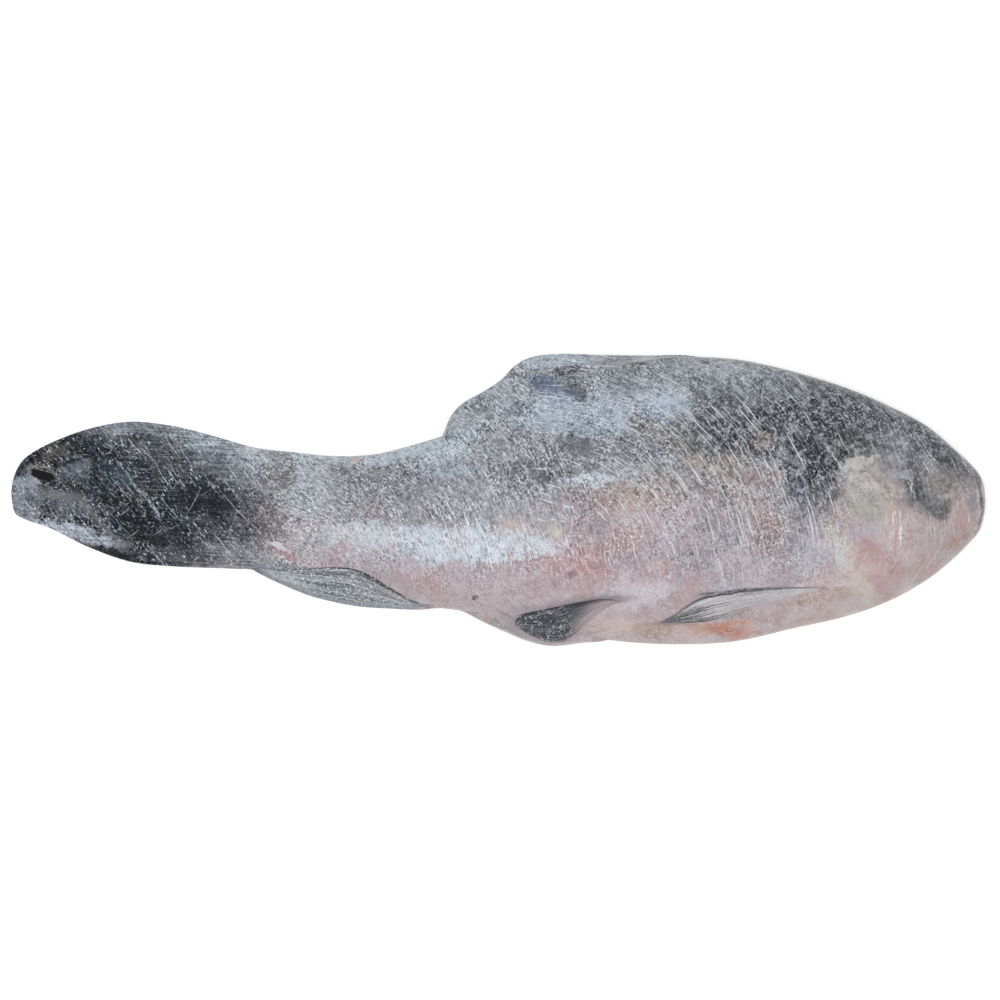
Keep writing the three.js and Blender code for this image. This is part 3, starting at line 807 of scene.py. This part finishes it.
skinLines = [  # from x, y to x, y, width, colour, strength: single scratches and creases, and painted highlights on the head
    (150, 26, 159.6, 12, 0.6, (226, 229, 232), 0.85),
    (159, -2, 163.6, -10, 0.6, (216, 219, 222), 0.5),
    (188, 33.6, 196, 23, 0.6, (206, 212, 218), 0.7),
    (196, 25, 205, 14, 0.7, (206, 212, 218), 0.8),
    (192, 32, 199, 21, 0.5, (190, 197, 205), 0.6),
    (198, 16, 203, 7, 0.6, (206, 208, 210), 0.7),
    (151, 49.6, 160, 48.2, 0.7, (212, 216, 222), 0.6),
    (166.6, 44.6, 173, 41, 0.7, (214, 218, 224), 0.6),
    (188, 10, 190.6, 3, 0.7, (196, 198, 202), 0.5),
    (208, 20, 213, 11, 0.6, (196, 203, 210), 0.7),
    (206.6, 8, 207, -2, 0.5, (176, 176, 176), 0.5),
    # painted highlights: bright streaks down the cheek
    (185.2, -5, 184.8, -11.6, 0.7, (236, 230, 230), 0.6),
    (184.8, -11, 185.6, -20.4, 1.2, (246, 240, 240), 0.95),
    (182.4, -5, 183, -9.6, 0.7, (238, 230, 228), 0.7),
    # painted highlight on the lower jaw
    (198, -26, 191, -38, 0.6, (226, 216, 216), 0.5),
    (190.4, 8.6, 189.8, 3.4, 0.8, (222, 223, 226), 0.75),
    (195.6, 18, 199.8, 9.6, 0.7, (222, 225, 230), 0.75),
    (212.6, 22, 217.6, 13, 0.6, (208, 214, 222), 0.7),
    # painted highlights down the cheek
    (181.8, -7, 180.8, -13.4, 0.9, (236, 222, 220), 0.7),
    (182, -13, 180.6, -18.6, 0.7, (234, 220, 220), 0.7),
    (187.4, -9, 187.2, -13, 0.6, (216, 208, 208), 0.5),
    (190.6, 4, 191.6, -1, 0.6, (214, 214, 216), 0.6),
    (197, 12, 198.6, 4, 0.6, (206, 206, 208), 0.6),
    # painted highlight down the cheek
    (178, -9, 177.6, -20, 0.5, (234, 218, 206), 0.45),
    (183.4, -12, 182.6, -24, 1.6, (184, 130, 142), 0.5),
    (200, -12.6, 201, -16.2, 0.6, (84, 82, 84), 0.7),
    # painted highlight on the lower jaw
    (204, -21, 197, -32, 0.7, (222, 214, 215), 0.5),
    (205.4, -9, 206, -20, 0.6, (210, 202, 205), 0.4),
    # painted highlight along the upper lip
    (221, 8, 222, -8, 0.6, (228, 226, 232), 0.6),
    (154, -4.6, 164, -15.4, 1.4, (170, 136, 152), 0.5),
    (164, -15.4, 175.6, -23.4, 1.4, (172, 134, 150), 0.5),
    (127, 17, 131, 8, 0.7, (232, 228, 206), 0.7),
    (95, 22, 104, 2, 0.8, (226, 224, 214), 0.75),
    (104, 2, 107, -14, 0.7, (216, 216, 222), 0.6),
    (108, 12, 112, -2, 0.7, (222, 218, 216), 0.6),
    (98, -22, 104.6, -39, 1.0, (226, 226, 234), 0.6),
    (36, 21.6, 42.6, 17.4, 0.6, (196, 200, 206), 0.8),
    (220.2, 13.4, 222.9, 4, 1.7, (66, 63, 66), 0.85),
    (222.9, 4, 223.8, -5, 1.7, (58, 54, 58), 0.95),
    (223.8, -5, 221.6, -13, 1.6, (66, 61, 64), 0.85),
    (-222, 8, -221, 0, 0.9, (186, 192, 200), 0.7),
    (-221, 0, -216.6, -5.6, 0.9, (190, 196, 204), 0.7),
    (-219.6, 5.4, -215, 1.6, 0.7, (176, 183, 191), 0.7),
    (-215, 1.6, -214.6, -3, 0.7, (170, 178, 186), 0.6),
    (-214.6, -3, -216.6, -5.6, 0.7, (176, 183, 191), 0.6),
    (-217, 15.6, -207, 15, 0.6, (170, 170, 170), 0.7),
    (-175, 14, -170, 7, 1.4, (146, 157, 168), 0.6),
    (-172, 9, -166, 2, 1.0, (176, 184, 193), 0.85),
    (-168, 5, -163, 0, 1.8, (150, 160, 170), 0.6),
    (-164, 0, -159, -6, 1.5, (186, 193, 201), 0.9),
    (-161, -4, -158, -9.6, 2.2, (158, 166, 175), 0.75),
    (-166, 5, -164, 1, 0.6, (170, 178, 186), 0.6),
    (-131, 5, -112, -15, 0.5, (176, 182, 190), 0.7),
    (-154, 18, -146, 4, 0.5, (178, 184, 192), 0.65),
    (-141, -16, -133, -24, 0.5, (180, 186, 194), 0.7),
    (-170, 31, -163, 22, 0.7, (168, 176, 186), 0.7),
    (-139, 5, -145, -6, 0.5, (166, 172, 180), 0.65),
    (-125, 20, -103, -4, 0.6, (178, 186, 194), 0.6),
    (-218, 16, -206, 11.6, 0.6, (176, 170, 160), 0.6),
    (-4, -49, 17, -61, 1.0, (118, 114, 112), 0.6),
    (92, -43.8, 100, -42.7, 1.5, (86, 80, 84), 0.8),
    (100, -42.7, 127, -40.4, 1.6, (74, 74, 79), 0.9),
    (36, -60.4, 47, -57.6, 0.8, (152, 108, 108), 0.6),
    (38, -63, 50, -59.6, 0.8, (158, 118, 116), 0.55),
    (33, -60, 43, -57, 0.9, (92, 86, 92), 0.5),
    (30, -64.4, 41, -61, 0.8, (104, 96, 100), 0.45),
    (66, -57.4, 88, -57.6, 1.6, (122, 112, 110), 0.5),
]
skinRegions = {  # from x to x, and its fine lines; each has its own paint, with the patches that reach it
    "tailSkin": (-300, -70, ("rear", "tail")),
    "rearSkin": (-70, 15, ("rear",)),
    "shoulderSkin": (15, 90, ("rear", "front")),
    "frontSkin": (90, 300, ("front",)),
}
skinLook = {
    "base": (160, 155, 159),
    "grain": 0.95,  # how fine the frost is
    "lineCentres": {"rear": (-116.0, -55.7), "front": (13.9, -39.4)},  # the fine lines run round these
    "tailLines": (0.62, 0.78),  # and straight on the tail, this way
    "lineLength": {"rear": 3.4, "front": 6.0, "tail": 6.0},
    "lineWidth": 0.7,
    "strokes": {  # length, width of the strip that holds one, and thickness
        "specks": (8.0, 1.9, 0.15), "dashes": (7.0, 1.9, 0.13), "scratches": (110.0, 2.1, 0.1),
        "crossing": (60.0, 7.0, 0.05), "arcs": (80.0, 2.6, 0.12), "sparkles": (4.0, 2.2, 0.14),
        "creaseGlints": (24.0, 2.2, 0.15),
    },
    "areas": {  # soft patches that hold a kind of mark
        "analFin": (-86.0, -42.0, 54.0, 10.0, -20.0, 1.0, 0.3),
        # frost, with a painted reflection of the light along the flank's crest
        "frostAndSheenBand": (-28.0, -18.0, 76.0, 11.0, -3.0, 0.6, 0.4),
        "lowerTail": (-198, -14, 25, 5, -14, 0.8, 0.4),
        "upperTail": (-134, 25, 34, 7, -20, 0.6),
        "lowerRays": (-198, -12, 28, 7, -14, 0.9, 0.4),
        "thinArcs": (94.0, 14.0, 50.0, 30.0, -30.0, 0.9, 0.3),
        # where painted highlights run down the creases of the cheek and the snout
        "cheekCreaseGlints": (184, -16, 9, 18, -6, 1.0, 0.6),
        "snoutCreaseGlints": (215, -2, 7, 18, 4),
    },
    "tones": {  # darker by these, laid over as these
        "blotchDark": (0.5, 0.5, 0.53, 1), "rayDark": (0.4, 0.4, 0.42, 1),
        "mottle": (190, 194, 202), "blotch": (206, 213, 222), "wisp": (214, 220, 228),
        "fleshPale": (204, 194, 198), "fleshPink": (184, 152, 152), "tailCloud": (44, 54, 68),
        "ray": (150, 152, 156), "scratch": (206, 215, 226), "arc": (224, 229, 234),
        "thinArc": (214, 216, 220), "sparkle": (230, 224, 228),
        # pale colours painted on the upright sides as light, on the back and on the belly
        "edgeLightTone": (173, 174, 172), "bellyEdgeLightTone": (181, 167, 163),
    },
}


class SkinPaint(Paint):  # the paint of one region
    def __init__(self, name, low, high, lines):
        super().__init__(name)
        self.span = (low, high)
        self.place = self.fishPlace()
        self.mapped = self.scaled(self.coordinates("UV"), perMetre)
        self.x, self.y, self.z = self.split(self.place)
        self.mapX, self.mapY = self.split(self.mapped)[:2]
        self.rawPlace, self.softPlace = self.wandering(self.place)
        self.headPlace = self.moved(self.place, "head")
        self.grain = self.turnedNoise(self.place, skinLook["grain"])
        self.mottle = self.turnedNoise(self.place, 0.17, 5.0, 0.7)
        self.clouds = self.turnedNoise(self.place, 0.06, 4.0)
        self.clusters = self.noise(self.mapped, 0.06, 4.0, 0.6)
        self.wobble = self.noise(self.mapped, 0.06) * 3.0
        self.drifting = (self.noise(self.mapped, 0.05, 3.0, 0.6) - 0.5) * 50.0
        self.lines = {line: self.runOf(line) for line in lines}  # along and across each kind of fine line
        self.hatch = self.hatched(lines)
        self.findAreas()

    def runOf(self, line):
        if line == "tail":
            slope, rise = skinLook["tailLines"]
            return self.mapX * slope - self.mapY * rise, self.mapX * rise + self.mapY * slope + self.wobble
        centre = (*skinLook["lineCentres"][line], 0.0)
        offX, offY = self.split(self.vector("SUBTRACT", self.mapped, centre))[:2]
        angle = self.node("ShaderNodeMath", {"operation": "ARCTAN2"}, {0: offY, 1: offX})
        radius = self.vector("LENGTH", self.joined(offX, offY), out="Value")
        return angle * 90.0, radius + self.wobble

    def hatched(self, lines):  # fine streaks along the lines, where each kind takes over from the one before
        takesOver = {
            "front": lambda: self.ease(self.mapX + self.mapY * 0.8 + self.drifting, 40.0, 56.0),
            "tail": lambda: self.ease(self.mapX + self.drifting, -98.0, -114.0),
        }
        hatch = None
        for line in lines:
            along, across = self.lines[line]
            length, width = skinLook["lineLength"][line], skinLook["lineWidth"]
            streaks = self.noise(self.joined(along / length, across / width, self.z / 5.0), 1.0, 2.0, 0.65)
            hatch = hatch + (streaks - hatch) * takesOver[line]() if hatch else streaks
        return hatch

    def area(self, where, name):
        return self.spot(where, *skinLook["areas"][name])

    def findAreas(self):  # masks that are 1 on their part of the fish
        self.isTail = self.ease(self.x + self.drifting * 0.7, -104.0, -122.0)
        self.belly = self.ease(self.y, -22.0, -44.0)
        aboveFin = 1 - self.area(self.rawPlace, "analFin")
        self.flesh = self.ease(self.y, 6.0, -14.0) * (1 - self.isTail) * aboveFin
        self.cheek = self.ease(self.mapX, 146.0, 166.0) * self.ease(self.y, 30.0, 10.0)
        self.nape = self.ease(self.mapX, 60.0, 100.0) * self.ease(self.y, -8.0, 22.0) * (1 - self.isTail)
        # the band of frost and painted reflection along the flank's crest
        self.frostAndSheen = self.area(self.softPlace, "frostAndSheenBand")

    def sparing(self, belly, cheek, flesh):  # 1, less by these shares on the three areas
        return (1 - self.belly * belly) * (1 - self.cheek * cheek) * (1 - self.flesh * flesh)

    def laid(self, colour, mask, tone):
        return self.over(mask, colour, tint(*skinLook["tones"][tone]))

    def patched(self):
        colour = self.laidOn(tint(*skinLook["base"]), skinFields, self.span, 28, self.softPlace)
        colour = self.laidOn(colour, skinPatches, self.span, 8, self.rawPlace, 0.6)
        colour = self.laidOn(colour, headPatches, self.span, 6, self.headPlace, 1.2)
        return self.laidOn(colour, creamPatches, self.span, 8, self.headPlace, 0.5)

    def mottled(self, colour):  # strong and dark on the nape, faint elsewhere
        tones = skinLook["tones"]
        dark = self.ease(self.mottle, 0.52, 0.58, 0.62) * (self.nape * 0.7 + 0.3)
        pale = self.ease(self.mottle, 0.46, 0.41, 0.36) * (self.nape * 0.6 + 0.4)
        colour = self.laid(self.times(dark, colour, frost["shadow"]), pale, "mottle")
        blotch = self.turnedNoise(self.place, 0.42, 3.0)
        rough = self.sparing(0.7, 0.6, 0.3)
        colour = self.times(self.ease(blotch, 0.52, 0.64, 0.7) * rough, colour, tones["blotchDark"])
        colour = self.laid(colour, self.ease(blotch, 0.47, 0.36, 0.4) * rough * (1 - self.isTail), "blotch")
        ridge = abs(self.turnedNoise(self.place, 0.13, 2.0, 0.5) - 0.5)
        wisps = self.ease(ridge, 0.014, 0.003) * self.ease(self.grain, 0.4, 0.56)
        colour = self.laid(colour, wisps * (rough * 0.5), "wisp")
        colour = self.laid(colour, self.ease(self.clouds, 0.5, 0.66, 0.5) * self.flesh, "fleshPale")
        return self.laid(colour, self.ease(self.clouds, 0.48, 0.34, 0.5) * self.flesh, "fleshPink")

    def frostLaid(self, colour):  # grain of the frost, drawn out along the fine lines
        patchy = self.ease(self.clusters, 0.6, 0.38, 0.75) + 0.35
        pale = patchy * (1.12 - self.nape * 0.45) * self.sparing(0.42, 0.6, 0.15)
        if "tail" in self.lines:
            onTail = self.area(self.rawPlace, "lowerTail") + self.area(self.rawPlace, "upperTail")
            pale = pale * (1 - self.isTail * 0.76) + onTail
        dark = patchy * (1.25 - self.nape * 0.4) * self.sparing(0.55, 0.66, 0.3) * (1 - self.frostAndSheen * 0.3)
        least = 0.4 if "front" in self.lines else 0.6
        hair = (self.ease(self.clusters, 0.38, 0.6, 0.6) + least + self.frostAndSheen) * (1 - self.belly * 0.6)
        return self.frosted(colour, self.grain, self.hatch, pale, dark, hair)

    def marks(self, along, across, kind):
        return self.strokes(along, across, *skinLook["strokes"][kind])

    def tailMarked(self, colour):  # rays, specks and long thin scratches
        x, y, grain, clusters = self.x, self.y, self.grain, self.clusters
        along, across = self.lines["tail"]
        colour = self.laid(colour, self.ease(self.clouds, 0.46, 0.6, 0.4) * self.isTail, "tailCloud")
        rays = self.noise(self.joined(x / 22.0, (y + x * 0.06) / 0.75, self.z / 4.0), 1.0, 2.0, 0.55)
        rayed = self.isTail * self.ease(x, -186.0, -164.0) + self.area(self.rawPlace, "lowerRays")
        colour = self.times(self.ease(rays, 0.53, 0.42, 0.75) * rayed, colour, skinLook["tones"]["rayDark"])
        upper = self.ease(y, -6.0, 8.0, 0.6) + 0.4
        colour = self.laid(colour, self.ease(rays, 0.55, 0.66, 0.36) * rayed * upper, "ray")
        isRoot = self.ease(x, -190.0, -168.0, 0.8) + 0.2
        scratches = self.marks(along, across, "scratches") * self.ease(self.mottle, 0.4, 0.48) * 0.9
        long = (scratches + self.marks(across, along, "crossing") * 0.7) * isRoot
        specks = self.marks(along, across, "specks") * self.ease(clusters, 0.44, 0.55)
        dashes = self.marks(x, y, "dashes") * self.ease(clusters, 0.52, 0.42) * 0.6
        flecks = self.ease(grain, 0.6, 0.67, 0.7) * self.ease(clusters, 0.5, 0.58)
        broken = self.ease(grain, 0.36, 0.52, 0.5) + 0.5
        return self.laid(colour, (long + specks + dashes + flecks) * broken * self.isTail, "scratch")

    def arced(self, colour):  # bright arcs on the front flank
        along, across = self.lines["front"]
        isClear = self.ease(self.clusters, 0.4, 0.55) * (1 - self.belly) * self.ease(self.mapX, 168.0, 150.0)
        colour = self.laid(colour, self.marks(along, across, "arcs") * isClear * 0.95, "arc")
        spacing = {0: across + self.noise(self.mapped, 0.22) * 3.4, 1: 1.7}
        arcs = self.node("ShaderNodeMath", {"operation": "PINGPONG"}, spacing)
        broken = self.ease(self.noise(self.joined(along / 12.0, across / 2.2), 1.0, 1.0), 0.42, 0.58)
        thin = self.ease(arcs, 0.32, 0.06) * self.area(self.softPlace, "thinArcs") * broken * 0.85
        return self.laid(colour, thin, "thinArc")

    def sparkled(self, colour):  # painted glints: sparkles on the belly, and painted highlights along the creases of the cheek and snout
        x, y = self.x, self.y
        sparkles = self.marks(x - y * 0.3, y + x * 0.3, "sparkles") * (self.belly * 0.28 + self.flesh * 0.14)
        if "front" in self.lines:
            onCreaseGlints = self.area(self.headPlace, "cheekCreaseGlints") + self.area(self.headPlace, "snoutCreaseGlints")
            sparkles = sparkles + self.marks(y + x * 0.12, x - y * 0.12, "creaseGlints") * onCreaseGlints * 1.3
        return self.laid(colour, sparkles * self.ease(self.clusters, 0.46, 0.58, 0.7), "sparkle")

    def paintedEdgeLight(self, colour):  # painted light: paler where the surface stands upright, so the sides look lit up to the rim; it is also the look of the thicker ice at the fish's edge
        tones = skinLook["tones"]
        edgeLightTone = self.over(self.belly, tint(*tones["edgeLightTone"]), tint(*tones["bellyEdgeLightTone"]))
        # painted light on the upright sides, broken up by the frost's grain
        atEdge = self.ease(self.facing(), 0.42, 0.1, 0.85)
        return self.over(atEdge * (self.ease(self.grain, 0.34, 0.6, 0.6) + 0.3), colour, edgeLightTone)

    def detailed(self, colour):
        colour = self.laidOn(colour, skinDetails, self.span, 4, self.moved(self.place, "details"))
        streaks = [
            ((ax + bx) / 2, (ay + by) / 2, math.dist((ax, ay), (bx, by)) / 2, width / 2,
             math.degrees(math.atan2(by - ay, bx - ax)), shade, strength, 0.5)
            for ax, ay, bx, by, width, shade, strength in skinLines
        ]
        worn = self.ease(self.grain, 0.4, 0.54, 0.85) + 0.15
        return self.laidOn(colour, streaks, self.span, 4, self.moved(self.place, "lines"), 1.0, worn)

    def finish(self):
        colour = self.frostLaid(self.mottled(self.patched()))
        if "tail" in self.lines:
            colour = self.tailMarked(colour)
        if "front" in self.lines:
            colour = self.arced(colour)
        if "tail" not in self.lines:
            colour = self.sparkled(colour)
        return self.surface({
            "Base Color": self.detailed(self.paintedEdgeLight(colour)),
            "Roughness": 0.5 - 0.18 * self.ease(self.clusters, 0.35, 0.65),
            "Normal": self.bumped(self.grain * 0.5 + self.hatch * 0.5, 0.5),
            **glaze,
        })


def finPaint(name, look):
    paint = Paint(name)
    along, across = paint.split(paint.coordinates("UV"))[:2]
    place = paint.fishPlace()
    rawPlace, softPlace = paint.wandering(place)
    flank = paint.laidOn(tint(*skinLook["base"]), skinFields, look["span"], 28, softPlace)
    flank = paint.laidOn(flank, skinPatches, look["span"], 8, rawPlace, 0.6)
    sway = paint.noise(place, 0.25, 3.0) * 0.12
    fan = across + sway
    rays = paint.noise(paint.joined(along * 2.2, fan * look["rays"] * 1.7), 1.0, 3.0, 0.6)
    grain = paint.turnedNoise(place, skinLook["grain"])
    outward = along + sway - fan * look["slant"]
    tipward = paint.ease(outward, look["tipStart"], look["tipEnd"])
    colour = paint.over(tipward, paint.over(look["rootShare"], flank, look["root"]), look["tip"])
    colour = paint.over(paint.ease(fan, look["upperTo"], 0.08, look["upperDark"]), colour, tint(50, 52, 57))
    colour = paint.over(paint.ease(fan, 0.82, 1.0, look["lowerDark"]) * tipward, colour, tint(60, 63, 68))
    rayed = paint.ease(along + sway, look["raysFrom"], look["raysFrom"] + 0.2) * 0.85 + 0.15
    colour = paint.over(paint.ease(rays, 0.52, 0.64, look["pale"]) * rayed, colour, tint(212, 216, 218))
    colour = paint.over(paint.ease(rays, 0.48, 0.36, look["dark"]) * rayed, colour, tint(56, 58, 63))
    frosty = paint.ease(along + sway, look["frostFrom"], look["frostFrom"] + 0.2, look["frost"])
    colour = paint.frosted(colour, grain, rays, frosty, frosty * 0.8, look["streaks"])
    ragged = (grain - 0.5) * 1.2 + (sway - 0.06) * 3.0  # breaks up the edges, which blend into the flank
    colour = paint.over(paint.ease(paint.facing() + ragged, 0.6, 0.25, look["edge"]), colour, flank)
    lower = paint.ease(across + ragged * 0.25, look["lowerFade"], 1.06, look["edge"])
    colour = paint.over(lower * paint.ease(along, look["fadeTo"], look["fadeTo"] - 0.3), colour, flank)
    colour = paint.over(paint.ease(along + ragged * 0.15, look["tipFade"], 1.04, look["edge"]), colour, flank)
    bump = paint.bumped(rays + grain * 0.5, 0.6)
    return paint.surface({"Base Color": colour, "Roughness": 0.45, "Normal": bump, **glaze})


def eyePaint():
    paint = Paint("cloudedEye")
    u, v = paint.split(paint.coordinates("UV"))[:2]
    place = paint.scaled(paint.coordinates("Object"), perMetre)
    reach = paint.vector("LENGTH", paint.joined(u - 0.5, v - 0.5), out="Value") * 2.0
    cloud = paint.turnedNoise(place, 0.3, 5.0, 0.7)
    grain = paint.turnedNoise(place, skinLook["grain"])
    colour = paint.over(paint.ease(cloud, 0.42, 0.58), tint(122, 119, 117), tint(158, 153, 149))
    colour = paint.over(paint.ease(reach + cloud * 0.9, 1.0, 1.5, 0.8), colour, tint(126, 124, 124))
    colour = paint.frosted(colour, grain, grain, 0.12, 0.4)
    bump = paint.bumped(cloud, 0.3, 0.0004)
    wet = {"Coat Weight": 0.2, "Coat Roughness": 0.2, "Specular IOR Level": 0.15}
    return paint.surface({"Base Color": colour, "Roughness": 0.4, "Normal": bump, **wet})


skinMaterials = [SkinPaint(name, *region).finish() for name, region in skinRegions.items()]
marks = skinFields + skinPatches + headPatches + creamPatches + skinDetails + skinLines
print("skin painted", len(marks), "marks")
pectoralMaterial = finPaint("pectoralFinSkin", {
    "span": (73, 152), "rays": 8, "root": tint(200, 201, 206), "rootShare": 0.6,
    "tip": tint(104, 107, 111), "tipStart": 0.7, "tipEnd": 1.05, "slant": -0.2,
    "upperDark": 0.85, "upperTo": 0.22, "lowerDark": 0.5, "pale": 0.9, "dark": 0.75, "raysFrom": 0.3,
    "frost": 0.35, "frostFrom": 0.0, "streaks": 1.0,
    "edge": 0.85, "lowerFade": 0.62, "fadeTo": 0.7, "tipFade": 0.97,
})
pelvicMaterial = finPaint("pelvicFinSkin", {
    "span": (6, 57), "rays": 11, "root": tint(150, 140, 145), "rootShare": 0.45,
    "tip": tint(76, 79, 86), "tipStart": 0.08, "tipEnd": 0.4, "slant": 0.3,
    "upperDark": 0.7, "upperTo": 0.42, "lowerDark": 0.0, "pale": 0.2, "dark": 0.5, "raysFrom": 0.2,
    "frost": 0.8, "frostFrom": 0.4, "streaks": 0.3,
    "edge": 0.9, "lowerFade": 0.84, "fadeTo": 2.0, "tipFade": 0.88,
})
analMaterial = finPaint("analFinSkin", {
    "span": (-113, -30), "rays": 13, "root": tint(142, 147, 154), "rootShare": 0.7,
    "tip": tint(184, 189, 196), "tipStart": 0.5, "tipEnd": 1.0, "slant": 0.0,
    "upperDark": 0.85, "upperTo": 0.36, "lowerDark": 0.0, "pale": 0.5, "dark": 0.5, "raysFrom": 0.0,
    "frost": 1.1, "frostFrom": -0.3, "streaks": 1.0,
    "edge": 0.6, "lowerFade": 0.8, "fadeTo": 2.0, "tipFade": 0.9,
})
eyeMaterial = eyePaint()
skin, flankTree = buildTrunk(skinMaterials)
print("trunk and tail made", len(skin.data.polygons))
for side, word in ((1, "near"), (-1, "far")):
    buildFin(word + "Pectoral", pectoral, side, flankTree, pectoralMaterial)
    buildFin(word + "Pelvic", pelvic, side, flankTree, pelvicMaterial)
    buildFin(word + "Anal", anal, side, flankTree, analMaterial)
    buildEye(word + "Eye", side, flankTree, eyeMaterial)
print("fins and eyes made")

studio = {  # metres and watts
    "width": 0.46392,  # what the camera sees at the height of the fish's middle
    "height": 0.026, "distance": 6.0,
    "sky": 0.62, "glow": 0.25, "floor": 4.0, "paper": 0.94,
    "softbox": 35.0, "softboxSize": 0.7, "softboxPlace": (-0.02, -0.02, 2.2),
}
white = (1, 1, 1, 1)


def buildStudio():
    bm = bmesh.new()
    bmesh.ops.create_grid(bm, x_segments=1, y_segments=1, size=studio["floor"])
    mesh = bpy.data.meshes.new("floor")
    bm.to_mesh(mesh)
    bm.free()
    paint = Paint("floorPaper")
    mesh.materials.append(paint.surface({
        "Base Color": (studio["paper"], studio["paper"], studio["paper"], 1),
        "Roughness": 0.9,
        "Emission Color": white,
        "Emission Strength": studio["glow"],
    }))
    floor = bpy.data.objects.new("floor", mesh)
    bpy.context.scene.collection.objects.link(floor)

    world = bpy.data.worlds.new("studioSky")
    world.use_nodes = True
    sky = world.node_tree.nodes["Background"]
    sky.inputs["Color"].default_value = white
    sky.inputs["Strength"].default_value = studio["sky"]
    bpy.context.scene.world = world

    lamp = bpy.data.lights.new("softbox", "AREA")
    lamp.energy = studio["softbox"]
    lamp.size = studio["softboxSize"]
    softbox = bpy.data.objects.new("softbox", lamp)
    softbox.location = studio["softboxPlace"]
    softbox.rotation_euler = (-softbox.location).to_track_quat("-Z", "Y").to_euler()
    softbox.visible_glossy = False  # its mirror image would whiten the glaze all over
    bpy.context.scene.collection.objects.link(softbox)

    lens = bpy.data.cameras.new("camera")
    lens.lens = lens.sensor_width * studio["distance"] / studio["width"]
    camera = bpy.data.objects.new("camera", lens)
    camera.location = (frameShift[0] / perMetre, 0, studio["height"] + studio["distance"])
    bpy.context.scene.collection.objects.link(camera)
    bpy.context.scene.camera = camera
    bpy.context.scene.view_settings.view_transform = "Standard"


buildStudio()
print("studio set")
